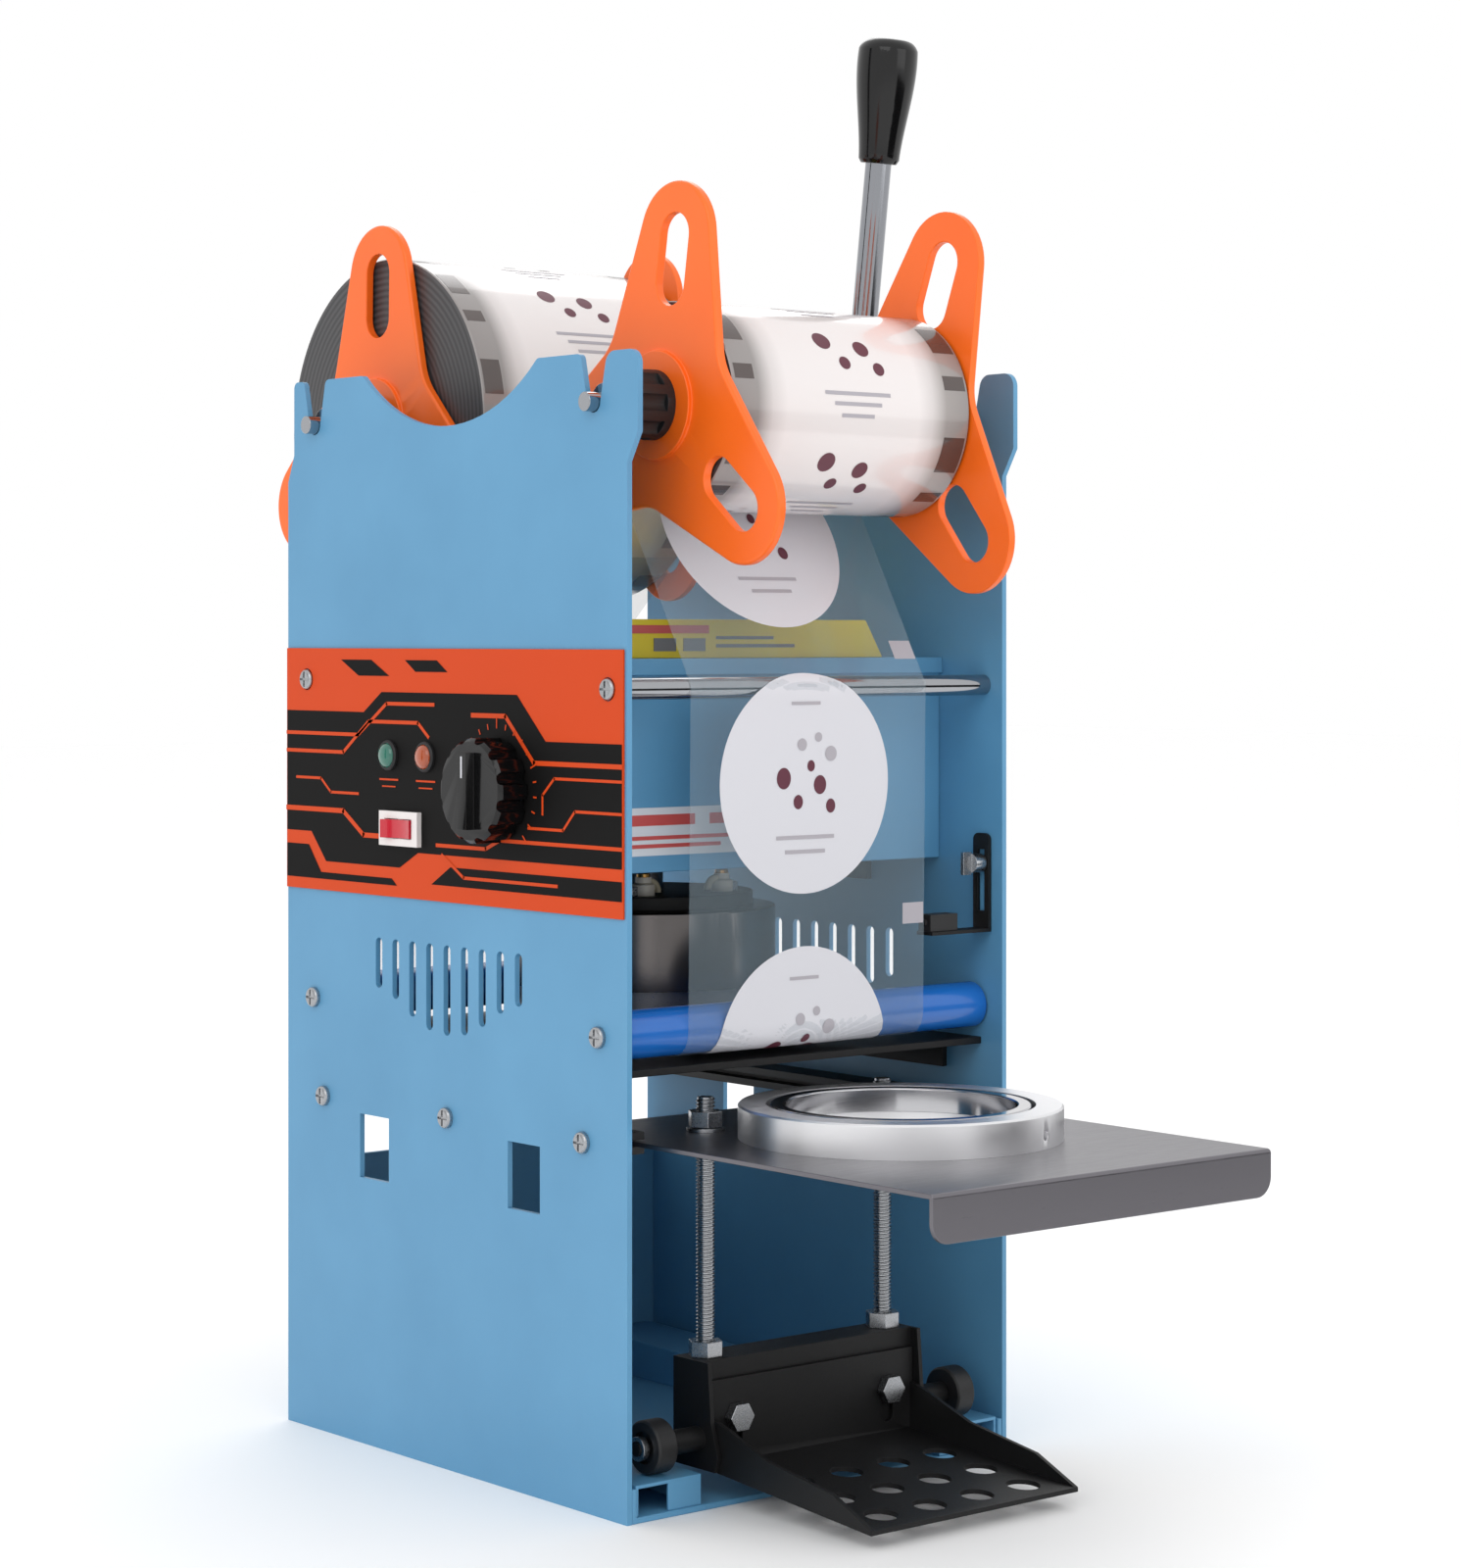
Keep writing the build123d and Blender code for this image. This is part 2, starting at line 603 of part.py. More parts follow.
HUB_R, HUB_LENGTH = 14.5, 17.0
PLUG_LENGTH = 14.0


def roll_flanges(y, lean_left, lean_right):
    """Two orange flanges that hold the film core from its ends."""
    face = trefoil()

    def one(side, lean):
        inner = FILM_MID_X + side * (FILM_WIDTH / 2 + 1)
        flat = Plane.YZ.offset(inner) * Rot(0, 0, lean) * face
        disc = extrude(flat, side * FLANGE_T)
        disc = chamfer(disc.faces().sort_by(Axis.X)[-1 if side > 0 else 0]
                       .outer_wire().edges(), 0.8)
        plug = rod_x(inner, inner - side * PLUG_LENGTH, 0, 0, CORE_R - FIT)
        plug += rod_x(inner + side * FLANGE_T, inner + side * (FLANGE_T + 2), 0, 0,
                      HUB_R + 8)
        plug -= rod_x(inner - side * 2, inner - side * 20, 0, 0, CORE_R - 5)
        flange = disc + plug
        flange -= rod_x(-150, 150, 0, 0, SPINDLE_R + FIT)
        return Pos(0, y, AXLE_Z) * flange
    return group(one(LEFT, lean_left), one(RIGHT, lean_right))


def spindle(y):
    """Steel bar through a roll, with thinner ends that rest in the notches."""
    shoulder = IN_X - 2.0
    bar = rod_x(-shoulder, shoulder, y, AXLE_Z, SPINDLE_R)
    bar += rod_x(-OUT_X - 5, OUT_X + 5, y, AXLE_Z, JOURNAL_R)
    return bar


def spindle_nuts(y):
    """Fluted nuts that clamp the flanges on the spindle."""
    def one(side):
        start = FILM_MID_X + side * (FILM_WIDTH / 2 + 1 + FLANGE_T + 2 + FIT)
        nut = rod_x(start, start + side * HUB_LENGTH, y, AXLE_Z, HUB_R)
        for i in range(8):
            angle = math.radians(45 * i)
            nut -= rod_x(start + side * 4, start + side * 60,
                         y + (HUB_R + 1.5) * math.cos(angle),
                         AXLE_Z + (HUB_R + 1.5) * math.sin(angle), 4.0)
        return nut - rod_x(-150, 150, y, AXLE_Z, SPINDLE_R + FIT)
    return both_sides(one)


# ---- cross shaft and lever -------------------------------------------------
def lever_shaft():
    return rod_x(-IN_X + 1.5, LEVER_X + 11, SHAFT_Y, SHAFT_Z, SHAFT_R)


def in_lever_frame(shape):
    """Turns a shape drawn upright on the shaft to the lever's lean."""
    return Pos(LEVER_X, SHAFT_Y, SHAFT_Z) * Rot(LEVER_LEAN, 0, 0) * shape


def lever_hub():
    hub = rod_x(OUT_X + 2.2, LEVER_X + 9, SHAFT_Y, SHAFT_Z, SHAFT_R + 7)
    hub = chamfer(hub.edges().filter_by(GeomType.CIRCLE), 1.0)
    hub -= rod_x(OUT_X, LEVER_X + 12, SHAFT_Y, SHAFT_Z, SHAFT_R + FIT)
    return hub - in_lever_frame(rod_z(0, 0, 9, 40, LEVER_ROD_R + FIT))


def lever_rod():
    return in_lever_frame(rod_z(0, 0, 9, LEVER_LENGTH - 12, LEVER_ROD_R))


def lever_grip():
    """Black tapered grip with a domed end."""
    low, high = LEVER_LENGTH - GRIP_LENGTH, LEVER_LENGTH
    outline = make_face(Plane.XZ * (
        Line((0, low), (8.2, low)) + Line((8.2, low), (9.4, low + 2))
        + Spline([(9.4, low + 2), (11.6, low + 22), (13.8, high - 14), (13.6, high - 5)])
        + ThreePointArc((13.6, high - 5), (10.6, high - 1.2), (6.5, high))
        + Line((6.5, high), (0, high)) + Line((0, high), (0, low))))
    grip = revolve(outline, Axis.Z)
    return in_lever_frame(grip - rod_z(0, 0, low - 1, high - 12, LEVER_ROD_R + FIT))


def crank_pin_at():
    """Where the crank pins are at rest, as (y, z)."""
    half = math.radians(LEVER_SWING / 2)
    return SHAFT_Y - CRANK_R * math.cos(half), SHAFT_Z + CRANK_R * math.sin(half)


def crank_arms():
    """Arms on the shaft, each with a pin that works in a yoke's slot."""
    pin_y, pin_z = crank_pin_at()

    def one(side):
        x0, x1 = side * (YOKE_X1 + 1.5), side * (YOKE_X1 + 9.5)
        arm = rod_x(x0, x1, SHAFT_Y, SHAFT_Z, SHAFT_R + 4) + rod_x(x0, x1, pin_y, pin_z, 7)
        angle = math.degrees(math.atan2(pin_z - SHAFT_Z, pin_y - SHAFT_Y))
        bar = Pos((x0 + x1) / 2, (pin_y + SHAFT_Y) / 2, (pin_z + SHAFT_Z) / 2)
        arm += bar * Rot(angle, 0, 0) * Box(abs(x1 - x0), CRANK_R, 14)
        arm += rod_x(x0, side * (YOKE_X0 - 1.5), pin_y, pin_z, CRANK_PIN_R)
        return arm - rod_x(-150, 150, SHAFT_Y, SHAFT_Z, SHAFT_R + FIT)
    return both_sides(one)


# ---- heating head ----------------------------------------------------------
HEAD_PLATE_T = 6.0


def head_housing():
    """Polished steel cup that covers the heater."""
    shell = rod_z(0, 0, HOUSING_BOTTOM, HEAD_TOP, HEAD_R)
    shell = fillet(shell.edges().group_by(Axis.Z)[-1], 1.2)
    return shell - rod_z(0, 0, HOUSING_BOTTOM - 1, HEAD_TOP - 2, HEAD_R - 1.5)


CUTTER_R = INNER_RING_R + 0.4
CUTTER_T = 0.8
CUTTER_BOTTOM = HEATER_BOTTOM - 2.5


def heater_plate():
    """Hot disc that presses the film on the cup's rim, and its block above."""
    disc = rod_z(0, 0, HEATER_BOTTOM, HEATER_BOTTOM + 12, CUTTER_R - 1.5)
    disc = fillet(disc.edges().group_by(Axis.Z)[0], 1.0)
    return disc + rod_z(0, 0, HEATER_BOTTOM + 12, HEAD_TOP - 2, CUTTER_R - 8)


def cutter_ring():
    """Thin ring round the heater that cuts the film, hung from the housing."""
    top = HEAD_TOP - 2
    ring = rod_z(0, 0, CUTTER_BOTTOM, top, CUTTER_R + CUTTER_T)
    ring -= rod_z(0, 0, CUTTER_BOTTOM - 1, top - 3, CUTTER_R)
    return ring - rod_z(0, 0, top - 4, top + 1, CUTTER_R - 8 + FIT)


def head_plate():
    """Black plate bolted on the housing, with the stem in its middle."""
    plate = rod_z(0, 0, HEAD_TOP, HEAD_TOP + HEAD_PLATE_T, HEAD_R - 10)
    plate -= rod_z(0, 0, HEAD_TOP - 1, HEAD_TOP + 10, STEM_R + FIT)
    for i in range(4):
        angle = math.radians(45 + 90 * i)
        plate -= rod_z(38 * math.cos(angle), 38 * math.sin(angle), HEAD_TOP - 1,
                       HEAD_TOP + 10, 3 + FIT)
    return plate


def head_bolts():
    bolts = []
    for i in range(4):
        angle = math.radians(45 + 90 * i)
        x, y = 38 * math.cos(angle), 38 * math.sin(angle)
        top = HEAD_TOP + HEAD_PLATE_T
        bolt = hexagon(x, y, top, top + 4, 10) + rod_z(x, y, HEAD_TOP, top, 3)
        bolts.append(bolt)
    return group(*bolts)


def head_stem():
    """Stem from the head up to the crosshead."""
    return rod_z(0, 0, HEAD_TOP, CROSSHEAD_Z + CROSSHEAD_T, STEM_R)


def crosshead():
    """Bar on the stem that slides on the guide posts, with the two yokes."""
    z0, z1 = CROSSHEAD_Z, CROSSHEAD_Z + CROSSHEAD_T
    bar = block(-POST_X, POST_X, -13, 13, z0, z1)
    bar += block(-YOKE_X1 - 3, YOKE_X1 + 3, -36, 0, z0, z1)
    for side in (LEFT, RIGHT):
        bar += rod_z(side * POST_X, 0, z0, z1, 13)
        bar -= rod_z(side * POST_X, 0, z0 - 1, z1 + 1, POST_R + RUNNING)
    bar -= rod_z(0, 0, z0 - 1, z1 + 1, STEM_R + FIT)
    return bar + drive_yokes()


def drive_yokes():
    """Open-slotted plates on the crosshead that the crank pins work in."""
    pin_z = crank_pin_at()[1]
    far_y = SHAFT_Y - CRANK_R
    play = 0.6

    def one(side):
        x0, x1 = side * YOKE_X0, side * YOKE_X1
        base = CROSSHEAD_Z + CROSSHEAD_T
        plate = block(x0, x1, far_y - 11, SHAFT_Y - SHAFT_R - 1.5, base, pin_z + 8)
        slot_r = CRANK_PIN_R + play
        plate -= rod_x(x0 - side, x1 + side, far_y, pin_z, slot_r)
        return plate - block(x0 - side, x1 + side, far_y, SHAFT_Y, pin_z - slot_r,
                             pin_z + slot_r)
    return both_sides(one)


# ---- sliding tray and cup ring --------------------------------------------
BUSH_HOLE_R = 6.0


def tray_plate():
    """Stainless sheet with a front lip turned down and rounded."""
    half = TRAY_WIDTH / 2
    rear = TRAY_FRONT + TRAY_LENGTH
    sheet = block(-half, half, TRAY_FRONT + 1, rear, TRAY_TOP - TRAY_T, TRAY_TOP)
    lip = block(-half, half, TRAY_FRONT, TRAY_FRONT + TRAY_T, TRAY_TOP - TRAY_LIP,
                TRAY_TOP)
    low = [e for e in lip.edges().filter_by(Axis.Y) if e.center().Z < TRAY_TOP - 5]
    lip = fillet(low, 8)
    tray = sheet + lip
    bend = [e for e in tray.edges().filter_by(Axis.X)
            if e.center().Z > TRAY_TOP - 0.1 and e.center().Y < TRAY_FRONT + 0.1]
    tray = fillet(bend, 1.8)
    tray -= rod_z(0, RING_Y, TRAY_TOP - 5, TRAY_TOP + 1, CUP_R + 2.5)
    for side in (LEFT, RIGHT):
        tray -= rod_z(side * LIFT_ROD_X, LIFT_ROD_Y, TRAY_TOP - 5, TRAY_TOP + 1,
                      BUSH_HOLE_R + FIT)
    return tray


def rod_bushes():
    """Bushes in the tray that the lift rods slide in."""
    def one(side):
        x, y = side * LIFT_ROD_X, LIFT_ROD_Y
        bush = rod_z(x, y, TRAY_TOP - TRAY_T - 6, TRAY_TOP + 1.5, BUSH_HOLE_R)
        bush += rod_z(x, y, TRAY_TOP, TRAY_TOP + 1.5, BUSH_HOLE_R + 2)
        return bush - rod_z(x, y, 0, 200, LIFT_ROD_R + RUNNING)
    return both_sides(one)


SET_SCREW_ANGLE = -72.0


def cup_ring():
    """Aluminium ring on the tray: outer wall, cutter groove and ledge."""
    z0, z1 = TRAY_TOP, TRAY_TOP + RING_HEIGHT
    ring = rod_z(0, RING_Y, z0, z1, RING_R)
    ring = chamfer(ring.edges().group_by(Axis.Z)[-1], 0.8)
    ring -= rod_z(0, RING_Y, z0 + RING_FLOOR, z1 + 1, INNER_RING_R + CUTTER_GROOVE)
    ring -= rod_z(0, RING_Y, z0 - 1, z1 + 1, CUP_R + 2.5)
    hole = Pos(0, RING_Y, z0 + 5.5) * Rot(0, 0, SET_SCREW_ANGLE) * Rot(0, 90, 0)
    return ring - hole * Pos(0, 0, 62.5) * Cylinder(2.0, 10)


def inner_ring():
    """Polished ring that the cup's rim hangs on."""
    z0, z1 = TRAY_TOP + RING_FLOOR, TRAY_TOP + RING_HEIGHT
    ring = rod_z(0, RING_Y, z0, z1, INNER_RING_R)
    ring -= rod_z(0, RING_Y, z0 - 1, z1 + 1, CUP_R)
    return chamfer(ring.edges().group_by(Axis.Z)[-1], 0.6)


# ---- cup lift --------------------------------------------------------------
NUT_FLATS, NUT_H = 13.0, 6.5
STUB_R = 3.0
CLAMP_X, CLAMP_Z, CLAMP_R = 42.0, 34.0, 3.0
CLAMP_Y = BRACKET_Y - GAP - BLACK_T      # face the clamp heads press on
WHEEL_Z = ramp_z(WHEEL_Y) + (WHEEL_R + GAP) / math.cos(math.atan(RAMP_SLOPE))
WHEEL_X1 = WHEEL_X0 + WHEEL_WIDTH


def lift_rods():
    """Two threaded rods that the lift hangs on."""
    def one(side):
        return rod_z(side * LIFT_ROD_X, LIFT_ROD_Y, LIFT_ROD_BOTTOM, LIFT_ROD_TOP,
                     LIFT_ROD_R)
    return both_sides(one)


def lift_nuts():
    """Nuts on the bracket's tab and over the tray's bushes."""
    def one(side):
        nuts = []
        stop = TRAY_TOP + 1.5 + GAP
        for z in (BRACKET_TOP, BRACKET_TOP - BLACK_T - NUT_H, stop):
            nut = hexagon(side * LIFT_ROD_X, LIFT_ROD_Y, z, z + NUT_H, NUT_FLATS)
            nuts.append(nut - rod_z(side * LIFT_ROD_X, LIFT_ROD_Y, 0, 200,
                                    LIFT_ROD_R + FIT))
        return group(*nuts)
    return both_sides(one)


def lift_bracket():
    """Black folded bracket: back, ears, a tab for the rods and wheel stubs."""
    inner = CHEEK_X - BLACK_T
    bracket = block(-inner, inner, BRACKET_Y, BRACKET_Y + BLACK_T, 18, BRACKET_TOP)
    bracket += block(-inner, inner, BRACKET_Y, -97, BRACKET_TOP - BLACK_T, BRACKET_TOP)
    ear = make_face(Polyline(
        (-97, 14), (-124, 14), (-126, 20), (-121.5, 34), (-119.5, BRACKET_TOP),
        (-97, BRACKET_TOP), close=True))
    for side in (LEFT, RIGHT):
        bracket += side_profile(ear, side * CHEEK_X, side * inner)
        bracket += rod_x(side * inner, side * (WHEEL_X1 + 4), WHEEL_Y, WHEEL_Z, STUB_R)
        bracket += rod_x(side * CHEEK_X, side * (WHEEL_X0 - 0.4), WHEEL_Y, WHEEL_Z, 5.0)
        bracket -= rod_z(side * LIFT_ROD_X, LIFT_ROD_Y, 50, 60, LIFT_ROD_R + FIT)
        turn = Pos(side * CLAMP_X, BRACKET_Y, CLAMP_Z) * Rot(90, 0, 0)
        bracket -= turn * Cylinder(CLAMP_R + FIT, 12)
    return bracket


def lift_wheels():
    """Black wheels that roll on the sloping rails."""
    def one(side):
        x0, x1 = side * WHEEL_X0, side * WHEEL_X1
        wheel = rod_x(x0, x1, WHEEL_Y, WHEEL_Z, WHEEL_R)
        wheel = chamfer(wheel.edges().filter_by(GeomType.CIRCLE), 0.8)
        wheel -= rod_x(x0 - side, x1 + side, WHEEL_Y, WHEEL_Z, STUB_R + RUNNING)
        return wheel - rod_x(x1 - side * 2, x1 + side, WHEEL_Y, WHEEL_Z, 6.5)
    return both_sides(one)


def clamp_fasteners():
    """Bolts that hold the platform at its height, and caps of the wheel stubs."""
    def one(side):
        turn = Pos(side * CLAMP_X, 0, CLAMP_Z) * Rot(90, 0, 0)
        y_back = BRACKET_Y + BLACK_T
        length = y_back - CLAMP_Y
        shank = Pos(0, 0, -(CLAMP_Y + y_back) / 2) * Cylinder(CLAMP_R, length)
        flat = RegularPolygon(5.5, 6, major_radius=False)
        head = Pos(0, 0, -CLAMP_Y) * extrude(flat, 4.5)
        nut = Pos(0, 0, -y_back - 5) * extrude(flat, 5)
        cap = rod_x(side * (WHEEL_X1 + 0.4), side * (WHEEL_X1 + 3.4), WHEEL_Y, WHEEL_Z, 5)
        cap -= rod_x(side * WHEEL_X1, side * (WHEEL_X1 + 5), WHEEL_Y, WHEEL_Z,
                     STUB_R + FIT)
        return group(turn * (shank + head + nut), cap)
    return both_sides(one)


DRAIN_R = 7.0
DRAIN_X, DRAIN_Y = (-39.0, -13.0, 13.0, 39.0), (-203.0, -178.0, -153.0)


def cup_platform():
    """Black folded shelf for the cup: sloping floor, low sides, slotted back."""
    half = CHEEK_X - BLACK_T - GAP
    front, rear = PLATFORM_FRONT, BRACKET_Y - GAP
    low, high = PLATFORM_FRONT_Z, PLATFORM_REAR_Z
    floor = make_face(Polyline((front, low), (rear, high), (rear, high + BLACK_T),
                               (front, low + BLACK_T), close=True))
    shelf = side_profile(floor, -half, half)
    for x in DRAIN_X:
        for y in DRAIN_Y:
            shelf -= rod_z(x, y, 0, 30, DRAIN_R)
    wall = make_face(Polyline(
        (front, low), (rear, high), (rear, high + 22), (-130, high + 18),
        (-154, 24), (-194, 18), (front, low + BLACK_T), close=True))
    for side in (LEFT, RIGHT):
        shelf += side_profile(wall, side * half, side * (half - BLACK_T))
    shelf += block(-half, half, rear - BLACK_T, rear, high, CLAMP_Z + 16)
    for side in (LEFT, RIGHT):
        for z in (CLAMP_Z, CLAMP_Z - PLATFORM_TRAVEL):
            turn = Pos(side * CLAMP_X, rear - 1, z) * Rot(90, 0, 0)
            shelf -= turn * Cylinder(CLAMP_R + GAP, 6)
        shelf -= block(side * CLAMP_X - CLAMP_R - GAP, side * CLAMP_X + CLAMP_R + GAP,
                       rear - 4, rear + 2, CLAMP_Z - PLATFORM_TRAVEL, CLAMP_Z)
    return shelf


# ---- controls --------------------------------------------------------------
def control_facia():
    """Thin printed plate on the outside of the left plate."""
    x0, x1 = -OUT_X, -OUT_X - FACIA_T
    plate = block(x0, x1, -HALF_DEPTH + 1.5, HALF_DEPTH - 0.5, PANEL_Z0, PANEL_Z1)
    plate -= rod_x(x0 + 1, x1 - 1, KNOB_Y, KNOB_Z, 6.0)
    for y in LAMPS_Y:
        plate -= rod_x(x0 + 1, x1 - 1, y, LAMP_Z, LAMP_R)
    for y, z in SIDE_SCREWS[:2]:
        plate -= rod_x(x0 + 1, x1 - 1, y, z, SCREW_HEAD_R + 0.3)
    length, height = SWITCH_SIZE
    return plate - block(x0 + 1, x1 - 1, SWITCH_Y - length / 2 + 2,
                         SWITCH_Y + length / 2 - 2, SWITCH_Z - height / 2 + 2,
                         SWITCH_Z + height / 2 - 2)


def thermostat():
    """Temperature control behind the left plate, with its spindle."""
    body = rod_x(-IN_X, -IN_X + 24, KNOB_Y, KNOB_Z, 17)
    body += block(-IN_X, -IN_X + 12, KNOB_Y - 20, KNOB_Y + 20, KNOB_Z - 8, KNOB_Z + 8)
    return body + rod_x(-IN_X, -OUT_X - FACIA_T - 12, KNOB_Y, KNOB_Z, 3.0)


def thermostat_knob():
    """Black fluted knob with a raised pointer bar across it."""
    face = -OUT_X - FACIA_T - 0.4
    knob = rod_x(face, face - 14, KNOB_Y, KNOB_Z, KNOB_R)
    knob = chamfer(knob.edges().filter_by(GeomType.CIRCLE).sort_by(Axis.X)[0], 1.5)
    for i in range(12):
        angle = math.radians(30 * i + 15)
        knob -= rod_x(face + 1, face - 25, KNOB_Y + (KNOB_R + 1) * math.cos(angle),
                      KNOB_Z + (KNOB_R + 1) * math.sin(angle), 3.0)
    knob += block(face - 13, face - 18, KNOB_Y - 3.2, KNOB_Y + 3.2, KNOB_Z - 16,
                  KNOB_Z + 16)
    return knob - rod_x(face + 1, face - 13.5, KNOB_Y, KNOB_Z, 3.0 + RUNNING)


def lamp(y):
    """Domed lens with its bezel ring and body."""
    face = -OUT_X - FACIA_T
    lens = rod_x(face - 4, -IN_X + 8, y, LAMP_Z, LAMP_R - FIT)
    lens += rod_x(face, face - 4, y, LAMP_Z, LAMP_R + 1.5)
    return fillet(lens.edges().filter_by(GeomType.CIRCLE).sort_by(Axis.X)[0], 3.2)


def lamps():
    """The heating lamp and the power lamp."""
    return group(*[lamp(y) for y in LAMPS_Y])


ROCKER_SIZE = (20.0, 8.0)


ROCKER_X = -OUT_X - FACIA_T - 0.6


def switch_frame():
    """White frame of the mains switch, its body behind the plate and the
    rocker's pin."""
    length, height = SWITCH_SIZE
    face = -OUT_X - FACIA_T
    body = block(face, face - 2.5, SWITCH_Y - length / 2, SWITCH_Y + length / 2,
                 SWITCH_Z - height / 2, SWITCH_Z + height / 2)
    body += block(face, -IN_X + 16, SWITCH_Y - length / 2 + 2 + FIT,
                  SWITCH_Y + length / 2 - 2 - FIT, SWITCH_Z - height / 2 + 2 + FIT,
                  SWITCH_Z + height / 2 - 2 - FIT)
    rock_y, rock_z = ROCKER_SIZE
    body -= block(face - 4, -IN_X + 5, SWITCH_Y - rock_y / 2 - GAP,
                  SWITCH_Y + rock_y / 2 + GAP, SWITCH_Z - rock_z / 2 - GAP,
                  SWITCH_Z + rock_z / 2 + GAP)
    return body + rod_z(ROCKER_X, SWITCH_Y, SWITCH_Z - rock_z / 2 - 1,
                        SWITCH_Z + rock_z / 2 + 1, 1.5 - RUNNING)


ROCKER_TILT = 7.0


def switch_rocker():
    """Red rocker, at rest with its rear end pressed in."""
    rock_y, rock_z = ROCKER_SIZE
    half = rock_y / 2 - 0.6
    rounded = make_face(
        Line((-half, -2.5), (half, -2.5)) + Line((half, -2.5), (half, 4.2))
        + ThreePointArc((half, 4.2), (0, 2.6), (-half, 4.2))
        + Line((-half, 4.2), (-half, -2.5)))
    cap = extrude(rounded, rock_z / 2, both=True) - Cylinder(1.5, rock_z + 2)
    return Pos(ROCKER_X, SWITCH_Y, SWITCH_Z) * Rot(0, 0, 90 + ROCKER_TILT) * cap


# ---- film sensor -----------------------------------------------------------
SENSOR_SLOT = 24.0


def sensor_bracket():
    """Slotted black arm that reaches in to the edge of the film."""
    x0 = IN_X - 0.4
    x1 = x0 - 1.5
    arm = block(x0, x1, SENSOR_Y - 5, SENSOR_Y + 5, SENSOR_ELBOW, SENSOR_TOP)
    corners = [e for e in arm.edges().filter_by(Axis.X) if e.center().Z > SENSOR_TOP - 1]
    arm = fillet(corners, 3)
    arm += block(x0, FILM_MID_X + FILM_WIDTH / 2 + 4, SENSOR_Y - 5, SENSOR_Y + 5,
                 SENSOR_ELBOW, SENSOR_ELBOW + 1.5)
    return arm - block(x0 + 1, x1 - 1, SENSOR_Y - 2.1, SENSOR_Y + 2.1,
                       SENSOR_SCREW_Z - SENSOR_SLOT + 3, SENSOR_SCREW_Z + 6)


def film_sensor():
    """Small light sensor on the end of the arm."""
    x = FILM_MID_X + FILM_WIDTH / 2 + 4
    body = block(x, x + 16, SENSOR_Y - 4, SENSOR_Y + 4, SENSOR_ELBOW + 1.5,
                 SENSOR_ELBOW + 9)
    return body + rod_x(x - 1, x, SENSOR_Y, SENSOR_ELBOW + 5.5, 1.6)


def sensor_screw():
    """Knurled screw through the slot into the right plate."""
    x_face = IN_X - 0.4 - 1.5 - 0.3
    screw = rod_x(x_face, OUT_X - 0.2, SENSOR_Y, SENSOR_SCREW_Z, 2.0)
    screw += rod_x(x_face, x_face - 6, SENSOR_Y, SENSOR_SCREW_Z, 4.2)
    return screw + block(x_face - 6, x_face - 11, SENSOR_Y - 1, SENSOR_Y + 1,
                         SENSOR_SCREW_Z - 5, SENSOR_SCREW_Z + 5)


NODES = {
    "left_side_plate": left_side_plate,
    "right_side_plate": right_side_plate,
    "side_screws": side_screws,
    "base_plate": base_plate,
    "ramp_rails": ramp_rails,
    "tray_rails": tray_rails,
    "bushes": bushes,
    "guide_deck": guide_deck,
    "guide_posts": guide_posts,
    "return_springs": return_springs,
    "cross_panels": cross_panels,
    "power_inlet": power_inlet,
    "top_shelf": top_shelf,
    "drive_cover": drive_cover,
    "cross_rods": cross_rods,
    "film_table": film_table,
    "front_roller": lambda: film_roller(FRONT_ROLLER),
    "rear_roller": lambda: film_roller(REAR_ROLLER),
    "film_web": film_web,
    "film_span": film_span,
    "front_film_roll": lambda: film_roll(-AXLE_Y, FRONT_ROLL_R),
    "rear_film_roll": lambda: film_roll(AXLE_Y, REAR_ROLL_R),
    "front_flanges": lambda: roll_flanges(-AXLE_Y, 9.0, 21.0),
    "rear_flanges": lambda: roll_flanges(AXLE_Y, 1.0, 23.0),
    "front_spindle": lambda: spindle(-AXLE_Y),
    "rear_spindle": lambda: spindle(AXLE_Y),
    "front_spindle_nuts": lambda: spindle_nuts(-AXLE_Y),
    "rear_spindle_nuts": lambda: spindle_nuts(AXLE_Y),
    "lever_shaft": lever_shaft,
    "lever_hub": lever_hub,
    "lever_rod": lever_rod,
    "lever_grip": lever_grip,
    "crank_arms": crank_arms,
    "head_housing": head_housing,
    "heater_plate": heater_plate,
    "cutter_ring": cutter_ring,
    "head_plate": head_plate,
    "head_bolts": head_bolts,
    "head_stem": head_stem,
    "crosshead": crosshead,
    "tray_plate": tray_plate,
    "rod_bushes": rod_bushes,
    "cup_ring": cup_ring,
    "inner_ring": inner_ring,
    "lift_rods": lift_rods,
    "lift_nuts": lift_nuts,
    "lift_bracket": lift_bracket,
    "lift_wheels": lift_wheels,
    "clamp_fasteners": clamp_fasteners,
    "cup_platform": cup_platform,
    "control_facia": control_facia,
    "thermostat": thermostat,
    "thermostat_knob": thermostat_knob,
    "lamps": lamps,
    "switch_frame": switch_frame,
    "switch_rocker": switch_rocker,
    "sensor_bracket": sensor_bracket,
    "film_sensor": film_sensor,
    "sensor_screw": sensor_screw,
}


def main():
    os.makedirs("parts", exist_ok=True)
    for name, make in NODES.items():
        shape = make()
        shape.label = name
        export_step(shape, f"parts/{name}.step")


main()
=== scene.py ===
import json
import math

import bmesh
import bpy
from mathutils import Matrix, Vector


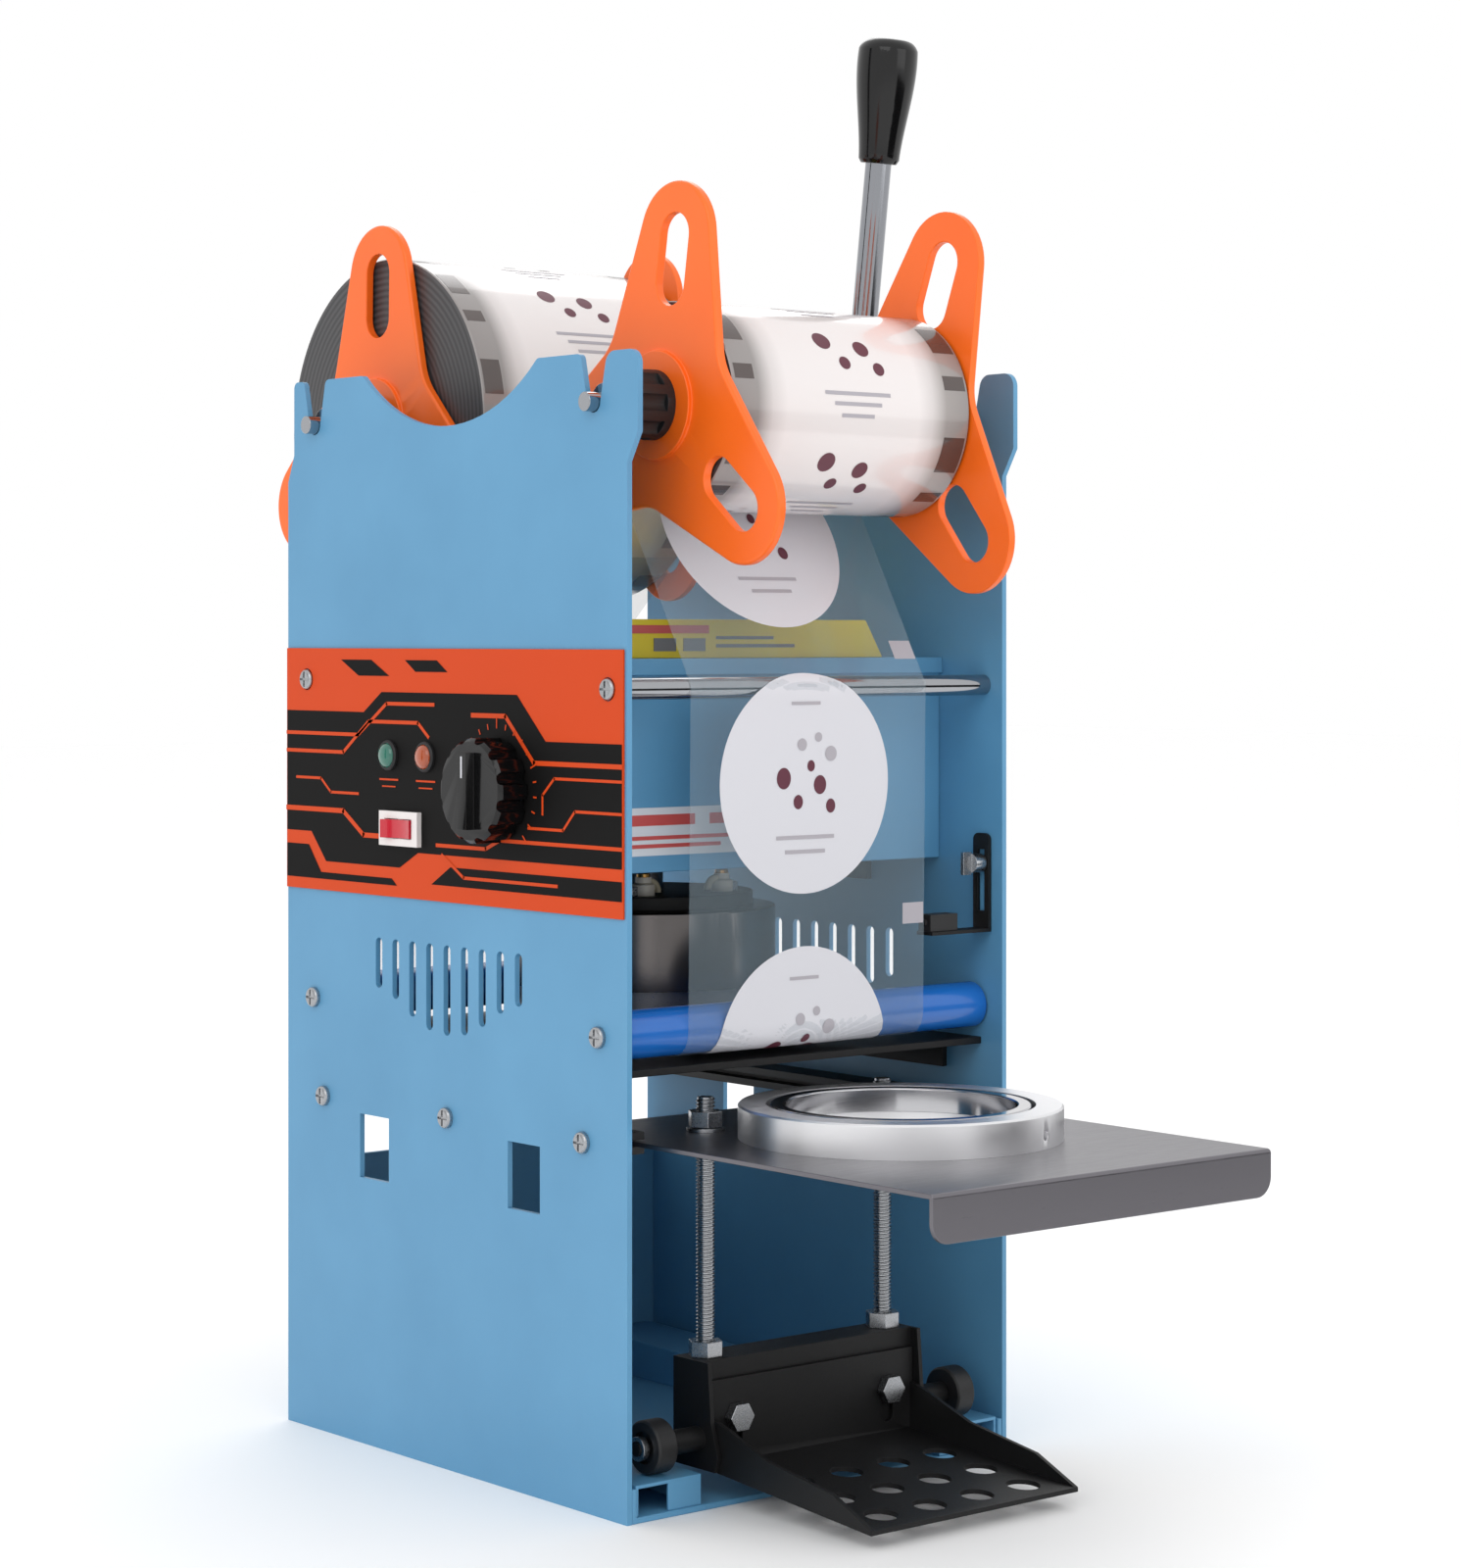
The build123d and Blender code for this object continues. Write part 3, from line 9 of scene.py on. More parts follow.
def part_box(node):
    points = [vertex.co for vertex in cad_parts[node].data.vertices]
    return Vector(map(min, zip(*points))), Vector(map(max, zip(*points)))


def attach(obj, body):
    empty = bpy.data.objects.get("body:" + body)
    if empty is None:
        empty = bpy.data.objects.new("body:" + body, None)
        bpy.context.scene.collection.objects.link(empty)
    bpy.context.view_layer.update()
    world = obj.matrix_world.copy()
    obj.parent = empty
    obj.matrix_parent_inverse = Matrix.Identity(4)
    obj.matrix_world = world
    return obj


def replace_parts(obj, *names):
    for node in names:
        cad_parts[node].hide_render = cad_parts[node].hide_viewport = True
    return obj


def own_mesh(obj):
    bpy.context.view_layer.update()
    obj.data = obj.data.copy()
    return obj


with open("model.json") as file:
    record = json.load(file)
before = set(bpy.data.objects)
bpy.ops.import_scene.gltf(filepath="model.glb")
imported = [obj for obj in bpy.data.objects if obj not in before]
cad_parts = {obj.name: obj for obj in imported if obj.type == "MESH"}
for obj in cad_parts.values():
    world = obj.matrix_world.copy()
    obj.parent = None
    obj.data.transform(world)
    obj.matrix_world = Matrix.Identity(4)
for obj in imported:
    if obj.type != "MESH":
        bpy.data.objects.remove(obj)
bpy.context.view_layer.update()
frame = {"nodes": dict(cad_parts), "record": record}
mm = 0.001
print("frame loaded:", len(frame["nodes"]), "nodes")


# colours are written as sRGB hex and turned to linear here
def toLinear(hexColour, alpha=1.0):
    parts = [int(hexColour[i:i + 2], 16) / 255 for i in (0, 2, 4)]
    return [p / 12.92 if p <= 0.04045 else ((p + 0.055) / 1.055) ** 2.4 for p in parts] + [alpha]


# adds one node, sets its sockets and links the ones given as (node, output)
def addNode(tree, kind, sockets=None, **settings):
    node = tree.nodes.new("ShaderNode" + kind)
    for name, value in settings.items():
        setattr(node, name, value)
    for name, value in (sockets or {}).items():
        if isinstance(value, tuple) and isinstance(value[0], bpy.types.Node):
            tree.links.new(value[0].outputs[value[1]], node.inputs[name])
        else:
            node.inputs[name].default_value = value
    return node


def newMaterial(name):
    material = bpy.data.materials.new(name)
    material.use_nodes = True
    tree = material.node_tree
    tree.nodes.clear()
    output = addNode(tree, "OutputMaterial")
    coords = addNode(tree, "TexCoord")
    return material, tree, output, coords


def finishMaterial(material, tree, output, sockets):
    shader = addNode(tree, "BsdfPrincipled", sockets)
    tree.links.new(shader.outputs["BSDF"], output.inputs["Surface"])
    return material


# painted, moulded and cast surfaces: a fine bump and a slight change of gloss
def coatedMaterial(name, look):
    material, tree, output, coords = newMaterial(name)
    place = addNode(tree, "Mapping", {"Vector": (coords, "Object")})
    grain = addNode(tree, "TexNoise", {"Vector": (place, "Vector"), "Scale": 1 / (look["grain"] * mm),
                                       "Detail": 3.0, "Roughness": 0.55})
    drift = addNode(tree, "TexNoise", {"Vector": (place, "Vector"), "Scale": 14.0, "Detail": 4.0})
    shade = addNode(tree, "ValToRGB", {"Fac": (drift, "Fac")})
    shade.color_ramp.elements[0].position = 0.3
    shade.color_ramp.elements[1].position = 0.75
    shade.color_ramp.elements[0].color = toLinear(look["dark"])
    shade.color_ramp.elements[1].color = toLinear(look["colour"])
    gloss = addNode(tree, "MapRange", {"Value": (grain, "Fac"), "To Min": look["rough"] * 0.85,
                                       "To Max": min(1.0, look["rough"] * 1.2)})
    bump = addNode(tree, "Bump", {"Height": (grain, "Fac"), "Strength": look["bump"],
                                  "Distance": 0.1 * mm})
    return finishMaterial(material, tree, output, {
        "Base Color": (shade, "Color"), "Roughness": (gloss, "Result"), "Normal": (bump, "Normal"),
        "IOR": look.get("ior", 1.5), "Coat Weight": look.get("coat", 0.0),
        "Coat Roughness": look.get("coatRough", 0.1)})


# bare metals: lines drawn out along one direction, so the highlight is streaked
def metalMaterial(name, look):
    material, tree, output, coords = newMaterial(name)
    place = addNode(tree, "Mapping", {"Vector": (coords, "Object"), "Scale": look["stretch"]})
    lines = addNode(tree, "TexNoise", {"Vector": (place, "Vector"), "Scale": 1 / (look["line"] * mm),
                                       "Detail": 2.0, "Roughness": 0.6})
    gloss = addNode(tree, "MapRange", {"Value": (lines, "Fac"), "To Min": look["rough"] * 0.7,
                                       "To Max": look["rough"] * 1.35})
    bump = addNode(tree, "Bump", {"Height": (lines, "Fac"), "Strength": look["bump"],
                                  "Distance": 0.03 * mm})
    return finishMaterial(material, tree, output, {
        "Base Color": toLinear(look["colour"]), "Metallic": 1.0, "Roughness": (gloss, "Result"),
        "Normal": (bump, "Normal")})


# plain moulded or printed surfaces
def plainMaterial(name, look):
    material, tree, output, coords = newMaterial(name)
    return finishMaterial(material, tree, output, {
        "Base Color": toLinear(look["colour"]), "Roughness": look["rough"], "IOR": look.get("ior", 1.5),
        "Specular IOR Level": look.get("specular", 0.5),
        "Coat Weight": look.get("coat", 0.0), "Alpha": look.get("alpha", 1.0),
        "Metallic": look.get("metallic", 0.0), "Transmission Weight": look.get("through", 0.0)})


materials = {
    # polyester powder coat, sprayed and baked: faint orange peel and a soft sheen
    "bluePowderCoat": coatedMaterial("bluePowderCoat", {"colour": "5F9CC3", "dark": "5793BA",
                                                        "grain": 0.9, "rough": 0.42, "bump": 0.25}),
    "blackPowderCoat": coatedMaterial("blackPowderCoat", {"colour": "1A1A1B", "dark": "111112",
                                                          "grain": 0.7, "rough": 0.5, "bump": 0.45,
                                                          "ior": 1.36}),
    "yellowPaint": coatedMaterial("yellowPaint", {"colour": "E3CB22", "dark": "D8BD1A", "grain": 1.0,
                                                  "rough": 0.38, "bump": 0.15}),
    # moulded ABS with a fine spark-eroded texture
    "blackAbs": coatedMaterial("blackAbs", {"colour": "1D1D1F", "dark": "151516", "grain": 0.4,
                                            "rough": 0.5, "bump": 0.3}),
    # phenolic grip and knob, polished after moulding: a clear reflection on black
    "polishedPhenolic": coatedMaterial("polishedPhenolic", {"colour": "0D0D0E", "dark": "080809",
                                                            "grain": 3.0, "rough": 0.13, "bump": 0.04,
                                                            "ior": 1.45}),
    # moulded polypropylene: saturated, waxy sheen
    "orangePolypropylene": coatedMaterial("orangePolypropylene", {"colour": "FF6F18", "dark": "FA6810",
                                                                  "grain": 1.2, "rough": 0.32,
                                                                  "bump": 0.06}),
    # anodised tube, dyed blue, with a silky reflection
    "blueSleeve": coatedMaterial("blueSleeve", {"colour": "1A6CC4", "dark": "155FB2", "grain": 1.5,
                                                "rough": 0.24, "bump": 0.05, "coat": 0.3}),
    # zinc-plated fasteners: bright but a little cloudy
    "zincPlate": metalMaterial("zincPlate", {"colour": "A9ABAE", "stretch": (1, 1, 1), "line": 0.8,
                                             "rough": 0.28, "bump": 0.08}),
    # hard chrome over a ground bar: near mirror with faint turning lines
    "hardChrome": metalMaterial("hardChrome", {"colour": "A4A6AA", "stretch": (40, 1, 1), "line": 1.0,
                                               "rough": 0.1, "bump": 0.03}),
    "leverChrome": metalMaterial("leverChrome", {"colour": "94969B", "stretch": (1, 1, 0.1), "line": 1.0,
                                                 "rough": 0.1, "bump": 0.02}),
    # sheet stainless, brushed along the tray's width
    "brushedStainless": metalMaterial("brushedStainless", {"colour": "77757A", "stretch": (0.03, 1, 1),
                                                           "line": 0.35, "rough": 0.32, "bump": 0.25}),
    "spunStainless": metalMaterial("spunStainless", {"colour": "6B6766", "stretch": (0.2, 0.2, 3),
                                                     "line": 0.7, "rough": 0.22, "bump": 0.12}),
    # turned aluminium, satin outside and diamond-cut in the bore
    "satinAluminium": metalMaterial("satinAluminium", {"colour": "E8E8EA", "stretch": (0.1, 0.1, 2.5),
                                                       "line": 0.5, "rough": 0.34, "bump": 0.14}),
    "cutAluminium": metalMaterial("cutAluminium", {"colour": "B9B9BC", "stretch": (0.1, 0.1, 2),
                                                   "line": 0.8, "rough": 0.12, "bump": 0.05}),
    "groundSteel": metalMaterial("groundSteel", {"colour": "9B9B9F", "stretch": (1, 1, 1), "line": 0.5,
                                                 "rough": 0.3, "bump": 0.1}),
    "bearingBronze": metalMaterial("bearingBronze", {"colour": "B58A4E", "stretch": (1, 1, 1),
                                                     "line": 0.5, "rough": 0.32, "bump": 0.08}),
    # clear polyester film: only its shine shows
    "clearFilm": plainMaterial("clearFilm", {"colour": "9FB0BA", "rough": 0.05, "alpha": 0.13,
                                             "ior": 1.6}),
    "whiteInk": plainMaterial("whiteInk", {"colour": "D3D3D9", "rough": 0.35, "coat": 0.2}),
    "greyInk": plainMaterial("greyInk", {"colour": "A9A5AC", "rough": 0.4}),
    "maroonInk": plainMaterial("maroonInk", {"colour": "5E2A3A", "rough": 0.4}),
    "blackInk": plainMaterial("blackInk", {"colour": "0E0D0D", "rough": 0.6, "specular": 0.12}),
    "orangeInk": plainMaterial("orangeInk", {"colour": "D24510", "rough": 0.5, "specular": 0.2}),
    "redInk": plainMaterial("redInk", {"colour": "C9524F", "rough": 0.4}),
    "labelWhite": plainMaterial("labelWhite", {"colour": "D9DDE2", "rough": 0.45}),
    "markGrey": plainMaterial("markGrey", {"colour": "6F6E70", "rough": 0.4}),
    "switchWhite": plainMaterial("switchWhite", {"colour": "E8E2E0", "rough": 0.3, "coat": 0.3}),
    "switchRed": plainMaterial("switchRed", {"colour": "C4152C", "rough": 0.22, "coat": 0.6}),
    "greenLens": plainMaterial("greenLens", {"colour": "1F6B5A", "rough": 0.12, "coat": 0.8}),
    "amberLens": plainMaterial("amberLens", {"colour": "A8481A", "rough": 0.12, "coat": 0.8}),
    "smokeInk": plainMaterial("smokeInk", {"colour": "4A3F3C", "rough": 0.25, "coat": 0.5}),
}
print("materials ready:", len(materials))


def addPiece(name, mesh, finish, body, smoothAngle=35):
    piece = bpy.data.objects.new(name, mesh)
    bpy.context.scene.collection.objects.link(piece)
    for one in (finish if isinstance(finish, (list, tuple)) else [finish]):
        mesh.materials.append(materials[one])
    for polygon in mesh.polygons:
        polygon.use_smooth = True
    mesh.set_sharp_from_angle(angle=math.radians(smoothAngle))
    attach(piece, body)
    return piece


def meshFrom(shape, name):
    bmesh.ops.recalc_face_normals(shape, faces=shape.faces)
    mesh = bpy.data.meshes.new(name)
    shape.to_mesh(mesh)
    shape.free()
    return mesh


# flat print has one side only, so its normals stay as they were made
def inkPiece(name, shape, finish, body):
    mesh = bpy.data.meshes.new(name)
    shape.to_mesh(mesh)
    shape.free()
    return addPiece(name, mesh, finish, body)


# hard parts keep their CAD shape; a merged copy gets broken edges that catch the light
bodyOf = {}
for bodyName, members in frame["record"]["behaviour"]["bodies"].items():
    for member in members:
        bodyOf[member] = bodyName

edgeBreaks = {   # node: (finish, edge radius in mm)
    "left_side_plate": ("bluePowderCoat", 0.6), "right_side_plate": ("bluePowderCoat", 0.6),
    "base_plate": ("bluePowderCoat", 0.5), "ramp_rails": ("bluePowderCoat", 0.4),
    "cross_panels": ("bluePowderCoat", 0.5), "top_shelf": ("bluePowderCoat", 0.5),
    "drive_cover": ("yellowPaint", 0.5), "tray_rails": ("blackAbs", 0.4),
    "guide_deck": ("blackPowderCoat", 0.4), "film_table": ("blackPowderCoat", 0.4),
    "power_inlet": ("blackAbs", 0.4), "cross_rods": ("hardChrome", 0.3),
    "side_screws": ("zincPlate", 0.15), "bushes": ("bearingBronze", 0.3),
    "guide_posts": ("groundSteel", 0.3), "front_roller": ("blueSleeve", 0.6),
    "rear_roller": ("blueSleeve", 0.6), "front_flanges": ("orangePolypropylene", 0.7),
    "rear_flanges": ("orangePolypropylene", 0.7), "front_spindle": ("hardChrome", 0.4),
    "rear_spindle": ("hardChrome", 0.4), "front_spindle_nuts": ("blackAbs", 0.5),
    "rear_spindle_nuts": ("blackAbs", 0.5), "lever_shaft": ("groundSteel", 0.5),
    "lever_hub": ("hardChrome", 0.3), "lever_rod": ("leverChrome", 0.3),
    "lever_grip": ("polishedPhenolic", 0.3), "crank_arms": ("groundSteel", 0.4),
    "head_housing": ("spunStainless", 0.3), "heater_plate": ("groundSteel", 0.2),
    "cutter_ring": ("groundSteel", 0.1), "head_plate": ("blackPowderCoat", 0.5),
    "head_bolts": ("zincPlate", 0.3), "head_stem": ("groundSteel", 0.3),
    "crosshead": ("groundSteel", 0.4), "tray_plate": ("brushedStainless", 0.35),
    "rod_bushes": ("zincPlate", 0.2), "cup_ring": ("satinAluminium", 0.25),
    "inner_ring": ("cutAluminium", 0.25), "lift_nuts": ("zincPlate", 0.3),
    "lift_bracket": ("blackPowderCoat", 0.3), "lift_wheels": ("blackAbs", 0.3),
    "clamp_fasteners": ("zincPlate", 0.3), "cup_platform": ("blackPowderCoat", 0.3),
    "control_facia": ("orangeInk", 0.15), "thermostat": ("blackAbs", 0.3),
    "thermostat_knob": ("polishedPhenolic", 0.5), "switch_frame": ("switchWhite", 0.4),
    "switch_rocker": ("switchRed", 0.4), "sensor_bracket": ("blackPowderCoat", 0.2),
    "film_sensor": ("blackAbs", 0.3), "sensor_screw": ("zincPlate", 0.2),
}


def brokenEdgeCopy(node, finish, radius):
    shape = bmesh.new()
    shape.from_mesh(frame["nodes"][node].data)
    bmesh.ops.remove_doubles(shape, verts=shape.verts, dist=0.005 * mm)
    bmesh.ops.dissolve_limit(shape, angle_limit=math.radians(0.5), verts=shape.verts,
                             edges=shape.edges)
    mesh = bpy.data.meshes.new(node + "Finish")
    shape.to_mesh(mesh)
    shape.free()
    piece = addPiece(node + "Finish", mesh, finish, bodyOf[node])
    edges = piece.modifiers.new("brokenEdges", "BEVEL")
    edges.width = radius * mm
    edges.segments = 2
    edges.limit_method = "ANGLE"
    edges.angle_limit = math.radians(38)
    edges.use_clamp_overlap = True
    edges.harden_normals = True
    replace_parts(piece, node)
    return piece


for node, (finish, radius) in edgeBreaks.items():
    brokenEdgeCopy(node, finish, radius)
# the return springs, which shorten as the crosshead comes down on them, get a copy of their own mesh
# without broken edges; nothing shortens them here
springs = {"finish": "groundSteel", "edge": 0.1, "travel": 22.0}
coils = brokenEdgeCopy("return_springs", springs["finish"], springs["edge"])
coils.modifiers.clear()
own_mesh(coils)
frame["nodes"]["film_web"].data.materials.clear()
frame["nodes"]["film_web"].data.materials.append(materials["clearFilm"])


# the flat film is cut by the head: on the machine a disc goes down onto the cup inside the cutter, a rim
# is pushed down a little by the housing, and the rest stays where it is stretched; here the film is only
# split into these three layers, none of them moved
spanFilm = {"disc": 53.8, "rimInside": 54.8, "rimOutside": 61.7, "steps": 96, "under": 0.4,
            "keep": 0.5, "travel": 22.0}
spanLow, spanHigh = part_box("film_span")


def filmLayer(name, radii, toEdge):
    shape = bmesh.new()
    for radius in radii:
        bmesh.ops.create_circle(shape, segments=spanFilm["steps"], radius=radius * mm)
    if toEdge:
        edge = bmesh.ops.create_grid(shape, x_segments=1, y_segments=1, size=0.5)["verts"]
        bmesh.ops.scale(shape, verts=edge, vec=(spanHigh[0] - spanLow[0], spanHigh[1] - spanLow[1], 1))
        bmesh.ops.translate(shape, verts=edge, vec=((spanHigh[0] + spanLow[0]) / 2,
                                                    (spanHigh[1] + spanLow[1]) / 2, 0))
        bmesh.ops.delete(shape, geom=shape.faces[:], context="FACES_ONLY")
    bmesh.ops.triangle_fill(shape, use_beauty=True, edges=shape.edges[:])
    raised = bmesh.ops.extrude_face_region(shape, geom=shape.faces[:])["geom"]
    bmesh.ops.translate(shape, verts=[one for one in raised if isinstance(one, bmesh.types.BMVert)],
                        vec=(0, 0, spanHigh[2] - spanLow[2]))
    bmesh.ops.translate(shape, verts=shape.verts, vec=(0, 0, spanLow[2]))
    return addPiece(name, meshFrom(shape, name), "clearFilm", "frame")


def pushedDown(piece):
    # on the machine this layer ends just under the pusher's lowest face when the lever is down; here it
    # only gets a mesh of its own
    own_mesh(piece)


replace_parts(filmLayer("filmSheet", (spanFilm["rimOutside"],), True), "film_span")
pushedDown(filmLayer("filmDisc", (spanFilm["disc"],), False))
pushedDown(filmLayer("filmRim", (spanFilm["rimInside"], spanFilm["rimOutside"]), False))
print("hard parts finished:", len(edgeBreaks))


def turnedShape(profile, centre, axis, steps=96):
    # profile is (radius, distance along the axis), in mm, closed by the axis or by itself
    shape = bmesh.new()
    corners = [shape.verts.new((r * mm, 0, h * mm)) for r, h in profile]
    edges = [shape.edges.new(pair) for pair in zip(corners, corners[1:] + corners[:1])]
    bmesh.ops.spin(shape, geom=corners + edges, cent=(0, 0, 0), axis=(0, 0, 1),
                   angle=math.tau, steps=steps, use_merge=True)
    bmesh.ops.remove_doubles(shape, verts=shape.verts, dist=0.001 * mm)
    turn = Vector((0, 0, 1)).rotation_difference(Vector(axis)).to_matrix().to_4x4()
    bmesh.ops.transform(shape, matrix=Matrix.Translation(Vector(centre) * mm) @ turn,
                        verts=shape.verts)
    return shape


# lift rods with a rolled thread: a ridge wound up a core bar
liftRod = {"x": 49.2, "y": -106.0, "low": 45.0, "high": 165.0, "core": 3.35, "crest": 4.0, "pitch": 1.5}


def threadedRod(x):
    steps, turns = 20, (liftRod["high"] - liftRod["low"] - 1.5) / liftRod["pitch"]
    shape = bmesh.new()
    low, pitch = liftRod["low"], liftRod["pitch"]
    section = [(liftRod["core"] - 0.3, 0.0), (liftRod["crest"], 0.62), (liftRod["crest"], 0.86),
               (liftRod["core"] - 0.3, 1.45)]
    corners = [shape.verts.new((r * mm, 0, (low + h) * mm)) for r, h in section]
    face = shape.faces.new(corners)
    bmesh.ops.spin(shape, geom=[face] + list(face.edges) + corners, cent=(0, 0, 0), axis=(0, 0, 1),
                   dvec=(0, 0, pitch * mm / steps), angle=math.tau * turns,
                   steps=int(steps * turns), use_merge=False)
    bmesh.ops.create_cone(shape, cap_ends=True, segments=28, radius1=liftRod["core"] * mm,
                          radius2=liftRod["core"] * mm, depth=(liftRod["high"] - low) * mm,
                          matrix=Matrix.Translation((0, 0, (liftRod["high"] + low) / 2 * mm)))
    bmesh.ops.translate(shape, verts=shape.verts, vec=(x * mm, liftRod["y"] * mm, 0))
    return meshFrom(shape, "threadedRod")


for side, x in (("Left", -liftRod["x"]), ("Right", liftRod["x"])):
    rod = addPiece("liftRod" + side, threadedRod(x), "zincPlate", "lift")
    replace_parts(rod, "lift_rods")
print("threads wound")


# the film's route seen from the side, as (y, z) in mm, from the front roll to the span
filmPath = {"roll": (-103.0, 450.0), "rollR": 43.0, "rod": (-113.5, 334.0), "rodR": 4.5,
            "roller": (-106.5, 193.5), "rollerR": 10.0, "gap": 0.4,
            "spanEnd": -64.0}


def frontRoute():
    def polar(centre, radius, angle):
        return Vector((centre[0] + radius * math.cos(angle), centre[1] + radius * math.sin(angle)))

    roll, rod, roller = (Vector(filmPath[k]) for k in ("roll", "rod", "roller"))
    rollR, rodR, rollerR = (filmPath[k] + filmPath["gap"] for k in ("rollR", "rodR", "rollerR"))
    toRod = rod - roll
    cross = math.atan2(toRod.y, toRod.x) + math.acos((rollR + rodR) / toRod.length)
    toRoller = roller - rod
    along = math.atan2(toRoller.y, toRoller.x) - math.acos((rodR - rollerR) / toRoller.length)
    along %= math.tau
    points = [polar(roll, rollR, cross)]
    start = (cross + math.pi) % math.tau
    points += [polar(rod, rodR, start + (along - start) * i / 8) for i in range(9)]
    points += [polar(roller, rollerR, along + (1.5 * math.pi - along) * i / 16) for i in range(17)]
    points.append(Vector((filmPath["spanEnd"], roller.y - rollerR)))
    return points


routePoints = frontRoute()
routeLengths = [0.0]
for before, after in zip(routePoints, routePoints[1:]):
    routeLengths.append(routeLengths[-1] + (after - before).length)


# a point x across and s along the film, lifted off its outer face
def onFilm(x, s, lift):
    s = min(max(s, 0.0), routeLengths[-1] - 0.001)
    i = max(k for k, length in enumerate(routeLengths[:-1]) if length <= s)
    direction = (routePoints[i + 1] - routePoints[i]).normalized()
    point = routePoints[i] + direction * (s - routeLengths[i])
    outward = Vector((direction.y, -direction.x))
    point = point + outward * lift
    return Vector((x, point.x, point.y)) * mm


def alongAtHeight(height):
    for i, (before, after) in enumerate(zip(routePoints, routePoints[1:])):
        if before.y >= height >= after.y and before.y > after.y:
            return routeLengths[i] + (before.y - height) / (before.y - after.y) * (
                routeLengths[i + 1] - routeLengths[i])
    return 0.0


def discOnFilm(shape, centreX, centreS, radius, lift, steps=72, rings=12, squeeze=1.0):
    spoke = [shape.verts.new((radius * (k + 0.0001) / rings, 0, 0)) for k in range(rings + 1)]
    edges = [shape.edges.new(pair) for pair in zip(spoke, spoke[1:])]
    made = bmesh.ops.spin(shape, geom=spoke + edges, cent=(0, 0, 0), axis=(0, 0, 1),
                          angle=math.tau, steps=steps, use_merge=True)
    for vert in [v for v in shape.verts if not v.tag]:
        vert.co = onFilm(centreX + vert.co.x * squeeze, centreS - vert.co.y, lift)
        vert.tag = True
    return made


def barOnFilm(shape, x0, x1, s0, s1, lift):
    made = bmesh.ops.create_grid(shape, x_segments=2, y_segments=8, size=0.5)
    for vert in made["verts"]:
        vert.co = onFilm(x0 + (x1 - x0) * (vert.co.x + 0.5), s0 + (s1 - s0) * (vert.co.y + 0.5), lift)
        vert.tag = True


filmPrint = {"pitch": 115.0, "radius": 46.5, "secondAt": 294.0, "x": -5.0}
secondS = alongAtHeight(filmPrint["secondAt"])
discCentres = [secondS + filmPrint["pitch"] * k for k in (-1, 0, 1)]
discs, greys, maroons = bmesh.new(), bmesh.new(), bmesh.new()
for centreS in discCentres:
    discOnFilm(discs, filmPrint["x"], centreS, filmPrint["radius"], 0.15)
    # a plain berry and bubble ornament, as on the rolls, with rules in place of words
    for dx, ds, r in ((-12, -2, 4.5), (8, 1, 4.0), (-4, 8, 3.0), (14, 10, 3.0), (3, -7, 2.4)):
        discOnFilm(maroons, filmPrint["x"] + dx, centreS + ds, r, 0.3, steps=28, rings=3, squeeze=0.85)
    for dx, ds, r in ((-2, -16, 2.6), (7, -19, 2.0), (14, -12, 3.2)):
        discOnFilm(greys, filmPrint["x"] + dx, centreS + ds, r, 0.3, steps=20, rings=2)
    for row, half in ((22, 16), (28, 11)):
        barOnFilm(greys, filmPrint["x"] - half, filmPrint["x"] + half, centreS + row,
                  centreS + row + 1.6, 0.3)
    barOnFilm(greys, filmPrint["x"] - 8, filmPrint["x"] + 8, centreS - 34, centreS - 32.6, 0.3)
for shape, name, finish in ((discs, "filmDiscs", "whiteInk"), (greys, "filmRules", "greyInk"),
                            (maroons, "filmFruit", "maroonInk")):
    inkPiece(name, shape, finish, "frame")

# register marks at the film's right edge, which the sensor reads
marks = bmesh.new()
for between in (-0.5, 0.5, 1.5):
    middleS = secondS + filmPrint["pitch"] * between
    barOnFilm(marks, 50.5, 62.5, middleS - 4.5, middleS + 4.5, 0.15)
inkPiece("registerMarks", marks, "greyInk", "frame")
print("film printed")


# film rolls: wound film with the print showing through
rolls = {
    "front": {"node": "front_film_roll", "body": "front_reel", "y": -103.0, "r": 43.0, "marks": 5},
    "rear": {"node": "rear_film_roll", "body": "rear_reel", "y": 103.0, "r": 77.0, "marks": 9},
}
rollX = (-67.0, 63.0)
axleZ = 450.0
registerBands = ((49.5, 61.5), (-65.5, -55.5))


def rollMaterial(name, centreY, radius):
    # wound film: milky in the middle, smoky where the clear edges stack up
    material, tree, output, coords = newMaterial(name)
    place = addNode(tree, "Mapping", {"Vector": (coords, "Object"),
                                      "Location": (0, -centreY * mm, -axleZ * mm)})
    split = addNode(tree, "SeparateXYZ", {"Vector": (place, "Vector")})
    band = addNode(tree, "ValToRGB")
    span = addNode(tree, "MapRange", {"Value": (split, "X"), "From Min": rollX[0] * mm,
                                      "From Max": rollX[1] * mm})
    tree.links.new(span.outputs["Result"], band.inputs["Fac"])
    stops = ((0.0, "8B8583"), (0.1, "8F8A88"), (0.16, "CFC9C8"), (0.22, "E2DCDB"), (0.78, "E4DEDD"),
             (0.84, "CFC9C8"), (0.9, "9A9491"), (1.0, "8A8482"))
    while len(band.color_ramp.elements) < len(stops):
        band.color_ramp.elements.new(0.5)
    for element, (position, colour) in zip(band.color_ramp.elements, stops):
        element.position = position
        element.color = toLinear(colour)
    rings = addNode(tree, "TexWave", {"Vector": (place, "Vector"), "Scale": 160.0, "Distortion": 1.5,
                                      "Detail": 2.0}, wave_type="RINGS", rings_direction="X")
    bump = addNode(tree, "Bump", {"Height": (rings, "Fac"), "Strength": 0.12, "Distance": 0.1 * mm})
    return finishMaterial(material, tree, output, {
        "Base Color": (band, "Color"), "Roughness": 0.2, "Coat Weight": 0.6, "Coat Roughness": 0.06,
        "Normal": (bump, "Normal")})


